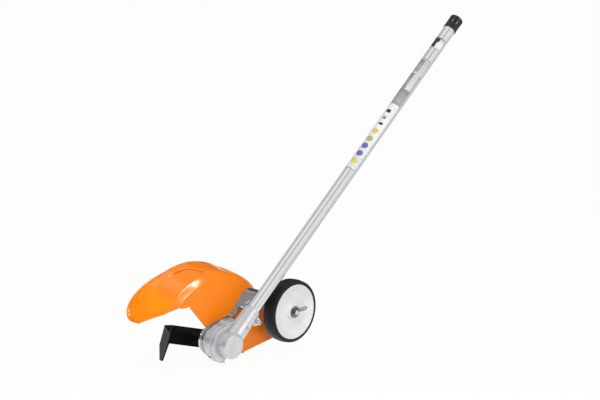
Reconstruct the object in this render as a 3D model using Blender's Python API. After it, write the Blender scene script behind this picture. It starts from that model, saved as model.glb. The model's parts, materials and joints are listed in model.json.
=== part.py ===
"""Bed edger attachment for a powered boom: drive tube, bevel gear head, bent-tip blade,
moulded deflector and depth wheel. Metres, +Z up, +Y forward, +X to the user's right.
The origin is the middle of the drive tube's coupling end, and the tube runs down and
forward from it to the gear head, where the tube's axis meets the blade shaft's axis."""
import math

import bmesh
import bpy
from mathutils import Matrix, Vector

# Clearances that tie one piece to the next
FIT = 0.0003
RUNNING_GAP = 0.001
CLEAR_OF_BOOM = 0.0014

# Boom
BOOM_RISE = math.radians(38.6)
TUBE_RADIUS = 0.0127
TUBE_WALL = 0.0015
TUBE_LENGTH = 0.811
BUTTON_HOLE_RADIUS = 0.004
BUTTON_HOLE_FROM_END = 0.02
CAP_WALL = 0.0013
CAP_COVER = 0.0265
CAP_END = 0.0035
CAP_END_GAP = 0.0015
DRIVE_SHAFT_RADIUS = 0.004
DRIVE_SHAFT_INSET = 0.008
SQUARE_END_LENGTH = 0.012
SQUARE_END_WIDTH = 0.0052
BUSH_COUNT = 4
BUSH_LENGTH = 0.022
BUSH_WALL = 0.0023
SLEEVE_LENGTH = 0.026
BUSH_END_MARGIN = 0.06
CAP_CROWN = 0.002
CAP_CROWN_RUN = 0.003
CAP_CROWN_RISE = 0.0016

# Bevel gears
GEAR_MODULE = 0.0018
PINION_TEETH = 15
GEAR_TEETH = 20
GEAR_FACE = 0.007
TOOTH_SHARE = 0.42
ADDENDUM = 0.8
DEDENDUM = 1.05
PINION_HUB_RADIUS = 0.008
PINION_HUB_LENGTH = 0.008
GEAR_HUB_LENGTH = 0.0055
GEAR_HUB_SHARE = 0.72
PRESSURE_ANGLE = math.radians(20)
KEY_HALF_WIDTH = 0.0015
KEY_IN_SHAFT = 0.0015
KEY_IN_GEAR = 0.0018

# Input bearings, on the pinion's shaft
INPUT_BORE = 0.006
INPUT_OUTER = 0.012
INPUT_WIDTH = 0.006
CIRCLIP_THICKNESS = 0.0012
CIRCLIP_DEPTH = 0.0008
SOCKET_LENGTH = 0.014
SOCKET_WALL_RADIUS = 0.0058
SOCKET_TO_TUBE = 0.005
CLIP_GROOVE_DEPTH = 0.0006
CLIP_RISE = 0.0016

# Output bearings, on the blade's shaft
OUTPUT_BORE = 0.010
OUTPUT_OUTER = 0.021
OUTPUT_WIDTH = 0.012
END_BORE = 0.004
END_OUTER = 0.0095
END_WIDTH = 0.006
SEAL_WIDTH = 0.007
SEAL_GAP = 0.001
GEAR_SEAT_STEP = 0.003
CIRCLIP_WIDTH = 0.003

# Gear housing
END_FACE_X = -0.020
BARREL_RADIUS = 0.026
BARREL_FILLET = 0.006
FLANGE_FRONT_X = 0.0045
FLANGE_BACK_X = 0.030
FLANGE_RADIUS = 0.038
FLANGE_STEP = 0.001
FLANGE_GROOVE_X = 0.0125
FLANGE_GROOVE = 0.002
GROOVE_HALF_WIDTH = 0.001
FLANGE_BACK_INSET = 0.004
FLANGE_UNDER_INSET = 0.0105
WEB_RISE = 0.0065
WEB_FRONT_Y = -0.0095
WEB_BACK_Y = -0.031
WEB_HEEL = (-0.034, 0.030)

# Lower side of the flange's rear and front steps: how far each point stands in from the
# flange's radius, and its angle in degrees up from forward
REAR_STEP_FOOT = [(0.0078, -68), (0.0045, -43), (0.0, -23)]
FRONT_STEP_FOOT = [(0.0, -66), (0.0, -53), (0.0, -40)]
CAST_OVERLAP = 0.002
COLLAR_RADIUS = 0.030
COLLAR_END_X = 0.0417
SPIGOT_WALL = 0.0017
NECK_BASE_RADIUS = 0.0190
NECK_TOP_RADIUS = 0.0165
NECK_GRIP = 0.030
NECK_STRAIGHT = 0.030
NECK_SHOULDER = 0.046
NECK_EASE = 0.001
CLAMP_EAR_DROP = 0.0045
CLAMP_EAR_FILLET = 0.004
CLAMP_EAR_REACH = 0.0235
CLAMP_EAR_HALF_WIDTH = 0.013
CLAMP_EAR_LENGTH = 0.017
CLAMP_SLOT = 0.002
CLAMP_SCREW_RADIUS = 0.003
CLAMP_SCREW_OFFSET = 0.0183
CLAMP_SCREW_PAST_EAR = 0.0065
CLAMP_HEAD_RADIUS = 0.005
CLAMP_HEAD = 0.006
CLAMP_HEAD_EASE = 0.0005
CLAMP_SOCKET_RADIUS = 0.0025
CLAMP_SOCKET_DEPTH = 0.0015
CLAMP_NUT_RADIUS = 0.0055
CLAMP_NUT_HEIGHT = 0.005
PLUG_RADIUS = 0.0022
PLUG_HEAD_RADIUS = 0.0036
PLUG_HEAD = 0.0022
PLUG_HEAD_EASE = 0.0006
PLUG_SINK = 0.0004
PLUG_BELOW_SOCKET = 0.007

# Blade and its clamp
BLADE_THICKNESS = 0.005
BLADE_REACH = 0.114
BLADE_HALF_WIDTH = 0.0185
BLADE_ANGLE = math.radians(18.1)
BLADE_BORE = 0.0125
TIP_WIDTH = 0.0212
TIP_DROP = 0.0554
TIP_CORNER_Z = -0.0264
TIP_EASE = (0.0025, 0.0034)
TIP_END_SHARES = (0.30, 0.58)
EDGE_EASE = 0.001
RING_RADIUS = 0.028
RING_THICKNESS = 0.005
RING_BOSS_RADIUS = 0.015
ARBOR_RADIUS = 0.008
PILOT_HEIGHT = 0.0045
THREAD_RADIUS = 0.006
WASHER_RADIUS = 0.022
WASHER_THICKNESS = 0.004
BLADE_NUT_RADIUS = 0.011
BLADE_NUT_HEIGHT = 0.010
THREAD_PAST_NUT = 0.003

# Steel bracket
PLATE_THICKNESS = 0.003
STRAP_THICKNESS = 0.0025
STRAP_NARROW = 0.009
STRAP_WIDE_FROM_Y = -0.070
STRAP_FROM_Y = -0.036
STRAP_NEAR_X = 0.005
STRAP_FRONT = (0.006, 0.0330)
STRAP_FOOT = (-0.0545, 0.0426)
STRAP_TOP_Z = 0.0845
STRAP_END_Z = 0.0660
STRAP_TOP_TO_WHEEL = 0.0825
STRAP_BEND_TO_WHEEL = 0.0565
STRAP_END_TO_WHEEL = 0.0385
STRAP_ROOM_TO_WHEEL = 0.0815
STRAP_FILLET = 0.030
STRAP_REAR_FILLET = 0.025
WHEEL_SIDE_GAP = 0.0025
STRAP_SCREW_X = 0.0195
STRAP_SCREW_SHARE = 0.6
STRAP_SCREW_RADIUS = 0.0022
STRAP_SCREW_HEAD_RADIUS = 0.0042
STRAP_SCREW_HEAD = 0.0022
STRAP_NUT_RADIUS = 0.0044
STRAP_NUT_HEIGHT = 0.0035
STRAP_SCREW_PAST_NUT = 0.0012
TAB_HALF_LENGTH = 0.0095
TAB_NEAR_X = 0.0140
PAD_BELOW_STRAP = 0.0015
PLATE_LOWER = [(-0.001, -0.0425), (-0.018, -0.0500), (-0.030, -0.0525)]
PLATE_REAR = [(-0.046, -0.040), (-0.052, -0.010), (-0.050, 0.012), (-0.045, 0.030)]
LIP_WIDTH = 0.005
LIP_FRONT = (0.012, -0.0325)
PLATE_FRONT_RADIUS = 0.031
FIXING_INSET = 0.0048
FIXING_BOSS_RADIUS = 0.0048
FIXING_ANGLES = (118, 180, 250)
FIXING_RADIUS = 0.002
FIXING_HEAD_RADIUS = 0.0032
FIXING_HEAD = 0.003
FIXING_BITE = 0.008

# Deflector
DEFLECTOR_WALL = 0.003
FOLD_RADIUS = 0.1225
FOLD_SPREAD = 0.00055
FOLD_SPREAD_FROM = 117
SHOULDER_RISE = 0.0165
SHOULDER_RUN = 0.013
EDGE_RADIUS = 0.150
EDGE_FROM_SHOULDER = 0.053
WING_COLUMNS = 4

# Wing stations: the angle at the fold, at the shoulder and at the edge, in degrees up from
# forward, and how far the edge stands beyond the shoulder
WING_ANGLES = [(45.2, 34.5, 20.5), (46.5, 37, 21.5), (50, 42, 29), (57, 50, 39.5), (66, 62, 57),
               (75, 73, 70), (97, 97, 96.5), (113, 113, 113), (124, 124, 124), (136, 136, 136),
               (150, 150, 150)]
WING_REACH = [0.053, 0.080, 0.093, 0.092, 0.076, 0.062, 0.049, 0.040, 0.022, 0.009, 0.006]

# Lower outline of the deflector's wall, from the tail's top round to the opening's top
WALL_CORNERS = [(-0.150, 0.046), (-0.177, 0.020), (-0.189, -0.004), (-0.189, -0.026), (-0.180, -0.036),
                (-0.0955, -0.046), (-0.062, -0.048), (-0.044, -0.044), (-0.022, -0.045), (-0.001, -0.040),
                (0.004, -0.020), (0.004, 0.020), (0.011, 0.0281), (0.0592, 0.0827)]

# Depth wheel
WHEEL_Y = -0.1765
WHEEL_Z = 0.0324
WHEEL_NEAR_X = -0.017
WHEEL_WIDTH = 0.030
RIM_RADIUS = 0.0562
TYRE_SECTION = 0.0083
TYRE_CROWN = 0.0030
TYRE_SHOULDER = 0.007
TYRE_CROWN_EASE = 0.0008
TYRE_CORNER = (0.0014, 0.0018)
DISH_DEPTH = 0.0095
RIM_BAND = 0.0152
WEB_THICKNESS = 0.004
RIM_WALL = 0.0035
BOSS_RADIUS = 0.015
AXLE_RADIUS = 0.005
AXLE_PAST_CLIP = 0.004
WHEEL_BUSH_WALL = 0.0022
WHEEL_WASHER_RADIUS = 0.012
WHEEL_WASHER_THICKNESS = 0.0018
CLIP_WIRE_RADIUS = 0.0012
CLIP_LENGTH = 0.031
CLIP_LOOP_REACH = 0.003
CLIP_LOOP_HALF = 0.0026
WHEEL_PLATE_X = 0.024
WHEEL_PLATE_THICKNESS = 0.003
AXLE_COLLAR_RADIUS = 0.0085
TRAVEL_UP = 0.007
TRAVEL_DOWN = 0.015
SLOT_PLATE_FOOT = 0.016
SLOT_PLATE_FOOT_DROP = 0.004
SLOT_PLATE_REAR = [(-0.016, 0.018), (0.004, 0.030)]
SLOT_PLATE_FRONT = [(0.0455, 0.0136), (0.0205, -0.0204)]
LOCK_NUT_RADIUS = 0.0095
LOCK_NUT_HEIGHT = 0.008
LOCK_WASHER_RADIUS = 0.010
LOCK_WASHER_THICKNESS = 0.0015

# Points closer than this are one point after a cut
WELD_DISTANCE = 0.00001

# Segments round a turned piece
FINE = 48
MEDIUM = 36
COARSE = 20

# Places that follow from the sizes above. Levels are heights along the boom from the
# gear centre; an X place is measured along the blade's shaft from the same centre.
PINION_PITCH = GEAR_MODULE * PINION_TEETH / 2
GEAR_PITCH = GEAR_MODULE * GEAR_TEETH / 2
CONE_LENGTH = math.hypot(PINION_PITCH, GEAR_PITCH)
PINION_BACK = GEAR_PITCH + PINION_HUB_LENGTH + 0.001
LOWER_BEARING = PINION_BACK + FIT
UPPER_BEARING = LOWER_BEARING + INPUT_WIDTH + FIT
INPUT_CLIP = UPPER_BEARING + INPUT_WIDTH + FIT
SOCKET_TOP = INPUT_CLIP + CIRCLIP_THICKNESS + SOCKET_LENGTH
TUBE_SEAT = SOCKET_TOP + SOCKET_TO_TUBE
TUBE_TOP = TUBE_SEAT + TUBE_LENGTH
NECK_TOP = TUBE_SEAT + NECK_GRIP
GEAR_BACK = PINION_PITCH + GEAR_HUB_LENGTH + 0.001
OUTPUT_BEARING = GEAR_BACK + 0.001
OUTPUT_CLIP = OUTPUT_BEARING + OUTPUT_WIDTH + FIT
SEAL_X = OUTPUT_CLIP + CIRCLIP_THICKNESS + SEAL_GAP
END_BEARING = END_FACE_X + END_WIDTH
MAIN_BORE = OUTPUT_OUTER + FIT
SPIGOT_RADIUS = MAIN_BORE + SPIGOT_WALL
PLATE_X = COLLAR_END_X + FIT
STRAP_EDGE_X = PLATE_X + PLATE_THICKNESS
WALL_X = STRAP_EDGE_X + 0.0013
WALL_BACK_X = WALL_X + DEFLECTOR_WALL
RING_X = WALL_BACK_X + RUNNING_GAP
BLADE_X = RING_X + RING_THICKNESS + FIT
WASHER_X = BLADE_X + BLADE_THICKNESS + FIT
BLADE_NUT_X = WASHER_X + WASHER_THICKNESS + FIT
SHAFT_END_X = BLADE_NUT_X + BLADE_NUT_HEIGHT + THREAD_PAST_NUT
WHEEL_FAR_X = WHEEL_NEAR_X + WHEEL_WIDTH
FIXING_CIRCLE = FLANGE_RADIUS - FIXING_INSET
TYRE_RADIUS = RIM_RADIUS + TYRE_SECTION
TYRE_FACE_RADIUS = TYRE_RADIUS - TYRE_CROWN
DISH_RADIUS = RIM_RADIUS - RIM_BAND
STRAP_CORNERS = [(*STRAP_FRONT, 0), (*STRAP_FOOT, STRAP_FILLET),
                 (WHEEL_Y + STRAP_TOP_TO_WHEEL, STRAP_TOP_Z, STRAP_FILLET),
                 (WHEEL_Y + STRAP_BEND_TO_WHEEL, STRAP_TOP_Z, STRAP_REAR_FILLET),
                 (WHEEL_Y + STRAP_END_TO_WHEEL, STRAP_END_Z, 0)]


# Helpers for making meshes

def clear_scene():
    for item in list(bpy.data.objects):
        bpy.data.objects.remove(item)


def finish(name, colour, roughness, metallic=0.0):
    material = bpy.data.materials.new(name)
    material.use_nodes = True
    shader = material.node_tree.nodes["Principled BSDF"]
    shader.inputs["Base Color"].default_value = (*colour, 1.0)
    shader.inputs["Roughness"].default_value = roughness
    shader.inputs["Metallic"].default_value = metallic
    return material


def place(name, work, parent, material, smooth=35):
    """Turn a bmesh into a named object under its parent empty."""
    bmesh.ops.recalc_face_normals(work, faces=work.faces[:])
    mesh = bpy.data.meshes.new(name)
    work.to_mesh(mesh)
    work.free()
    mesh.shade_smooth()
    mesh.set_sharp_from_angle(angle=math.radians(smooth))
    if material is not None:
        mesh.materials.append(material)
    item = bpy.data.objects.new(name, mesh)
    item.parent = parent
    bpy.context.scene.collection.objects.link(item)
    return item


def empty(name, parent=None, location=(0, 0, 0), rotation=(0, 0, 0)):
    item = bpy.data.objects.new(name, None)
    item.empty_display_size = 0.03
    item.parent = parent
    item.location = location
    item.rotation_euler = rotation
    bpy.context.scene.collection.objects.link(item)
    return item


def guide(item):
    item.hide_render = True
    item.display_type = 'WIRE'
    return item


def combine(target, tool, operation):
    modifier = target.modifiers.new(operation.lower(), 'BOOLEAN')
    modifier.object = guide(tool)
    modifier.operation = operation
    modifier.solver = 'EXACT'
    weld = target.modifiers.new("weld", 'WELD')
    weld.merge_threshold = WELD_DISTANCE


def cut(target, tool):
    combine(target, tool, 'DIFFERENCE')


def fuse(target, tool):
    combine(target, tool, 'UNION')


def turned_mesh(outline, segments):
    """Spin a closed outline of (radius, height) points about the local Z axis."""
    work = bmesh.new()
    points = [work.verts.new((radius, 0, height)) for radius, height in outline]
    pairs = zip(points, points[1:] + points[:1])
    edges = [work.edges.new(pair) for pair in pairs if pair[0].co.x + pair[1].co.x > 1e-7]
    bmesh.ops.spin(work, geom=points + edges, cent=(0, 0, 0), axis=(0, 0, 1),
                   angle=math.tau, steps=segments, use_merge=True)
    bmesh.ops.remove_doubles(work, verts=work.verts[:], dist=1e-6)
    return work


def turned(name, outline, parent, material, segments=MEDIUM):
    return place(name, turned_mesh(outline, segments), parent, material)


def tube_outline(inner, outer, low, high):
    return [(inner, low), (outer, low), (outer, high), (inner, high)]


def rod_outline(radius, low, high):
    return [(0, low), (radius, low), (radius, high), (0, high)]


def slab_mesh(outlines, low, high):
    """Closed slab across X: the first outline of (y, z) points is its rim, others are holes."""
    work = bmesh.new()
    edges = []
    for outline in outlines:
        ring = [work.verts.new((low, y, z)) for y, z in outline]
        edges += [work.edges.new(pair) for pair in zip(ring, ring[1:] + ring[:1])]
    filled = bmesh.ops.triangle_fill(work, use_beauty=True, edges=edges)["geom"]
    faces = [item for item in filled if isinstance(item, bmesh.types.BMFace)]
    grown = bmesh.ops.extrude_face_region(work, geom=faces)["geom"]
    lifted = [item for item in grown if isinstance(item, bmesh.types.BMVert)]
    bmesh.ops.translate(work, verts=lifted, vec=(high - low, 0, 0))
    return work


def slab(name, outlines, low, high, parent, material=None):
    return place(name, slab_mesh(outlines, low, high), parent, material)


def circle(radius, y=0.0, z=0.0, steps=COARSE):
    turns = [math.tau * step / steps for step in range(steps)]
    return [(y + radius * math.cos(turn), z + radius * math.sin(turn)) for turn in turns]


def polar(radius, degrees):
    return (radius * math.cos(math.radians(degrees)), radius * math.sin(math.radians(degrees)))


def arc(radius, start, end, steps):
    return [polar(radius, start + (end - start) * step / steps) for step in range(steps + 1)]


def rounded(corners, closed=True, steps=5):
    """Outline through (y, z, fillet) corners, each corner eased by an arc of its fillet."""
    path = []
    count = len(corners)
    for index, (y, z, fillet) in enumerate(corners):
        here = Vector((y, z))
        if fillet == 0 or (not closed and index in (0, count - 1)):
            path.append((y, z))
            continue
        before = (Vector(corners[index - 1][:2]) - here).normalized()
        after = (Vector(corners[(index + 1) % count][:2]) - here).normalized()
        half = before.angle(after) / 2
        centre = here + (before + after).normalized() * fillet / math.sin(half)
        start = here + before * fillet / math.tan(half) - centre
        sweep = start.angle_signed(here + after * fillet / math.tan(half) - centre)
        for step in range(steps + 1):
            spoke = Matrix.Rotation(-sweep * step / steps, 2) @ start
            path.append(tuple(centre + spoke))
    return path


def ribbon(path, thickness):
    """Closed outline of a strip whose outer side follows the path."""
    inner = []
    for index, point in enumerate(path):
        before = Vector(path[max(index - 1, 0)])
        after = Vector(path[min(index + 1, len(path) - 1)])
        along = (after - before).normalized()
        inner.append((point[0] - along.y * thickness, point[1] + along.x * thickness))
    return list(path) + inner[::-1]


def hexagon_mesh(radius, bore, low, high):
    """Nut with its axis on local Z."""
    work = bmesh.new()
    steps = 18
    rings = []
    for level in (low, high):
        outer = [work.verts.new((y, z, level)) for y, z in circle(radius, steps=6)]
        inner = [work.verts.new((y, z, level)) for y, z in circle(bore, steps=steps)]
        rings.append((outer, inner))
    share = steps // 6
    for outer, inner in rings:
        for k in range(6):
            first = k * share
            for s in range(first, first + share):
                work.faces.new((outer[k], inner[s % steps], inner[(s + 1) % steps]))
            work.faces.new((outer[k], inner[(first + share) % steps], outer[(k + 1) % 6]))
    for ring_low, ring_high in zip(rings[0], rings[1]):
        count = len(ring_low)
        for k in range(count):
            work.faces.new((ring_low[k], ring_low[(k + 1) % count], ring_high[(k + 1) % count], ring_high[k]))
    return work


def nut(name, radius, bore, low, high, parent, material):
    return place(name, hexagon_mesh(radius, bore, low, high), parent, material)


def bearing(name, bore, outer, width, low, parent):
    """Shielded ball bearing as its two rings, with the race gap between them."""
    middle = bore + (outer - bore) * 0.4
    turned(name + "_outer_ring", tube_outline(middle + FIT, outer, low, low + width),
           parent, POLISHED_STEEL, COARSE)
    turned(name + "_inner_ring", tube_outline(bore + FIT, middle, low, low + width),
           parent, POLISHED_STEEL, COARSE)


def bevel_gear_rings(teeth, mate_teeth, turn):
    """Heel and toe rings of a straight bevel gear whose cone's apex is the local origin."""
    pitch = math.atan2(teeth, mate_teeth)
    radius = GEAR_MODULE * teeth / 2
    level = GEAR_MODULE * mate_teeth / 2
    half = TOOTH_SHARE * math.pi * GEAR_MODULE / 2
    flank = math.tan(PRESSURE_ANGLE)
    tip = ADDENDUM * GEAR_MODULE
    root = DEDENDUM * GEAR_MODULE
    tip_place = (radius + tip * math.cos(pitch), level - tip * math.sin(pitch))
    root_place = (radius - root * math.cos(pitch), level + root * math.sin(pitch))
    tip_angle = (half - tip * flank) / radius
    root_angle = (half + root * flank) / radius
    heel = []
    for tooth in range(teeth):
        middle = turn + math.tau * tooth / teeth
        for offset, spot in ((-root_angle, root_place), (-tip_angle, tip_place),
                             (tip_angle, tip_place), (root_angle, root_place)):
            heel.append((spot[0], middle + offset, spot[1]))
    toe_share = (CONE_LENGTH - GEAR_FACE) / CONE_LENGTH
    toe = [(r * toe_share, a, z * toe_share) for r, a, z in heel]
    return heel, toe


def stack_rings(rings, closed):
    """Skin rings of (radius, angle, height) points; an open stack is capped at both ends."""
    work = bmesh.new()
    made = []
    for ring in rings:
        made.append([work.verts.new((r * math.cos(a), r * math.sin(a), z)) for r, a, z in ring])
    count = len(made[0])
    pairs = list(zip(made, made[1:]))
    if closed:
        pairs.append((made[-1], made[0]))
    for lower, upper in pairs:
        for k in range(count):
            work.faces.new((lower[k], lower[(k + 1) % count], upper[(k + 1) % count], upper[k]))
    if not closed:
        for ring in (made[0], made[-1]):
            middle = work.verts.new(sum((v.co for v in ring), Vector()) / count)
            for k in range(count):
                work.faces.new((ring[k], ring[(k + 1) % count], middle))
    return work


def flat_ring(pattern, radius, level):
    return [(radius, angle, level) for _, angle, _ in pattern]


# Finishes, from the photograph

clear_scene()
TUBE_WHITE = finish("tube_white", (0.80, 0.81, 0.82), 0.32, 0.35)
CAST_ALUMINIUM = finish("cast_aluminium", (0.66, 0.67, 0.69), 0.38, 0.75)
POLISHED_STEEL = finish("polished_steel", (0.62, 0.62, 0.62), 0.22, 1.0)
ZINC_STEEL = finish("zinc_steel", (0.60, 0.61, 0.62), 0.30, 1.0)
BLADE_PAINT = finish("blade_paint", (0.012, 0.012, 0.013), 0.45)
BRACKET_STEEL = finish("bracket_steel", (0.50, 0.51, 0.52), 0.25, 1.0)
DEFLECTOR_ORANGE = finish("deflector_orange", (0.90, 0.27, 0.02), 0.28)
WHEEL_WHITE = finish("wheel_white", (0.82, 0.82, 0.82), 0.35)
TYRE_BLACK = finish("tyre_black", (0.015, 0.015, 0.016), 0.55)
CAP_BLACK = finish("cap_black", (0.02, 0.02, 0.022), 0.5)
SEAL_RUBBER = finish("seal_rubber", (0.02, 0.02, 0.02), 0.6)
BUSH_BRONZE = finish("bush_bronze", (0.50, 0.34, 0.16), 0.35, 1.0)

# Axes. On each turned piece the local Z axis is the axis that it turns about.

TUBE_DIRECTION = Vector((0, -math.cos(BOOM_RISE), math.sin(BOOM_RISE)))
HEAD = empty("gear_centre", location=-TUBE_TOP * TUBE_DIRECTION)
BOOM = empty("boom_axis", HEAD, rotation=(math.pi / 2 - BOOM_RISE, 0, 0))
OUTPUT = empty("blade_axis", HEAD, rotation=(0, math.pi / 2, 0))
BLADE = empty("blade_turn", OUTPUT, rotation=(0, 0, BLADE_ANGLE))
WHEEL = empty("wheel_axis", HEAD, location=(0, WHEEL_Y, WHEEL_Z), rotation=(0, math.pi / 2, 0))


# Boom pieces

def drive_tube():
    tube = turned("drive_tube", tube_outline(TUBE_RADIUS - TUBE_WALL, TUBE_RADIUS, TUBE_SEAT, TUBE_TOP),
                  BOOM, TUBE_WHITE, MEDIUM)
    hole = turned("button_hole", rod_outline(BUTTON_HOLE_RADIUS, 0, TUBE_RADIUS * 2), BOOM, None, 20)
    hole.location = (0, 0, TUBE_TOP - BUTTON_HOLE_FROM_END)
    hole.rotation_euler = (-math.pi / 2, 0, 0)
    cut(tube, hole)


def tube_cap():
    inner = TUBE_RADIUS + FIT
    outer = inner + CAP_WALL
    floor = TUBE_TOP + CAP_END_GAP
    top = floor + CAP_END
    low = TUBE_TOP - CAP_COVER
    crown = top - CAP_CROWN
    outline = [(inner, low), (outer, low), (outer, crown), (outer - CAP_CROWN_RUN, crown + CAP_CROWN_RISE),
               (0, top), (0, floor), (inner, floor)]
    turned("tube_cap", outline, BOOM, CAP_BLACK, MEDIUM)


def drive_shaft():
    half = SQUARE_END_WIDTH / math.sqrt(2)
    low = SOCKET_TOP - SQUARE_END_LENGTH
    high = TUBE_TOP - DRIVE_SHAFT_INSET
    shaft = turned("drive_shaft", rod_outline(DRIVE_SHAFT_RADIUS, SOCKET_TOP + FIT, high - SQUARE_END_LENGTH),
                   BOOM, POLISHED_STEEL, 24)
    square = turned("shaft_square", rod_outline(half, low, high), BOOM, None, 4)
    square.rotation_euler = (0, 0, math.pi / 4)
    fuse(shaft, square)


def shaft_bushes():
    first = TUBE_SEAT + BUSH_END_MARGIN
    spacing = (TUBE_LENGTH - 2 * BUSH_END_MARGIN) / (BUSH_COUNT - 1)
    bush_inner = DRIVE_SHAFT_RADIUS + FIT
    bush_outer = bush_inner + BUSH_WALL
    for index in range(BUSH_COUNT):
        middle = first + spacing * index
        turned(f"shaft_bush_{index + 1}",
               tube_outline(bush_inner, bush_outer, middle - BUSH_LENGTH / 2, middle + BUSH_LENGTH / 2),
               BOOM, BUSH_BRONZE, COARSE)
        turned(f"bush_sleeve_{index + 1}",
               tube_outline(bush_outer + FIT, TUBE_RADIUS - TUBE_WALL - FIT,
                            middle - SLEEVE_LENGTH / 2, middle + SLEEVE_LENGTH / 2),
               BOOM, SEAL_RUBBER, COARSE)


# Gear head

def housing_barrel():
    corner = BARREL_RADIUS - BARREL_FILLET
    middle = END_FACE_X + BARREL_FILLET
    crown = [(corner + y, middle - z) for y, z in arc(BARREL_FILLET, 90, 0, 4)]
    outline = [(0, END_FACE_X)] + crown
    outline += [(BARREL_RADIUS, FLANGE_GROOVE_X), (COLLAR_RADIUS, FLANGE_GROOVE_X),
                (COLLAR_RADIUS, COLLAR_END_X), (SPIGOT_RADIUS, COLLAR_END_X),
                (SPIGOT_RADIUS, WALL_BACK_X - FIT), (0, WALL_BACK_X - FIT)]
    return turned("gear_housing", outline, OUTPUT, CAST_ALUMINIUM, FINE)


def flange_rim(foot, radius):
    """Outline of one step of the flange: round in front, with a web up to the neck behind it."""
    lower = [polar(radius - inset, degrees) for inset, degrees in foot[:-1]]
    front = arc(radius, foot[-1][1], 95, 20)
    web_top = radius + WEB_RISE
    back = arc(radius - FLANGE_BACK_INSET, 160, 240, 10)
    under = arc(radius - FLANGE_UNDER_INSET, 262, 270, 1)
    return lower + front + [(WEB_FRONT_Y, web_top), (WEB_BACK_Y, web_top), WEB_HEEL] + back + under


def housing_flange(housing):
    """Two steps with a groove between them, each lapped over the groove's floor."""
    groove_back = FLANGE_GROOVE_X + GROOVE_HALF_WIDTH
    groove_front = FLANGE_GROOVE_X - GROOVE_HALF_WIDTH
    steps = [(REAR_STEP_FOOT, FLANGE_RADIUS, groove_back, FLANGE_BACK_X),
             (REAR_STEP_FOOT, FLANGE_RADIUS - FLANGE_GROOVE, groove_front - GROOVE_HALF_WIDTH,
              groove_back + GROOVE_HALF_WIDTH),
             (FRONT_STEP_FOOT, FLANGE_RADIUS - FLANGE_STEP, FLANGE_FRONT_X, groove_front)]
    for index, (foot, radius, low, high) in enumerate(steps):
        fuse(housing, slab(f"flange_step_{index + 1}", [flange_rim(foot, radius)], low, high, HEAD))


def housing_neck():
    outline = [(0, 0), (NECK_BASE_RADIUS, 0), (NECK_BASE_RADIUS, NECK_STRAIGHT),
               (NECK_BASE_RADIUS - NECK_EASE / 2, NECK_SHOULDER),
               (NECK_TOP_RADIUS + NECK_EASE, TUBE_SEAT),
               (NECK_TOP_RADIUS, NECK_TOP - NECK_EASE), (NECK_TOP_RADIUS - NECK_EASE, NECK_TOP),
               (0, NECK_TOP)]
    return turned("housing_neck", outline, BOOM, None, MEDIUM)


def clamp_ears():
    """Block under the neck, drawn in the boom's frame; the slot splits it into two ears."""
    high = NECK_TOP - CLAMP_EAR_DROP
    low = high - CLAMP_EAR_LENGTH
    inside = -NECK_TOP_RADIUS / 2
    rim = rounded([(inside, low - CLAMP_EAR_FILLET, 0), (inside, high, 0),
                   (-CLAMP_EAR_REACH, high, CLAMP_EAR_FILLET), (-CLAMP_EAR_REACH, low, CLAMP_EAR_FILLET)])
    return slab("clamp_ears", [rim], -CLAMP_EAR_HALF_WIDTH, CLAMP_EAR_HALF_WIDTH, BOOM)


def clamp_screw_level():
    return NECK_TOP - CLAMP_EAR_DROP - CLAMP_EAR_LENGTH / 2


def across_boom(item, level, offset):
    """Stand a piece turned about Z across the boom, along X, at a level and an offset."""
    item.location = (0, offset, level)
    item.rotation_euler = (0, math.pi / 2, 0)
    return item


def pad_rim():
    """Outline of the pad on the collar that backs the bracket's upper edge."""
    top = [(y, z - PAD_BELOW_STRAP) for y, z in strap_path() if y > STRAP_FROM_Y]
    back = [(STRAP_FROM_Y, 0.0365), (-0.030, 0.0200)]
    inner = arc(COLLAR_RADIUS - 0.003, 140, 88, 5)
    return top + back + inner


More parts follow.
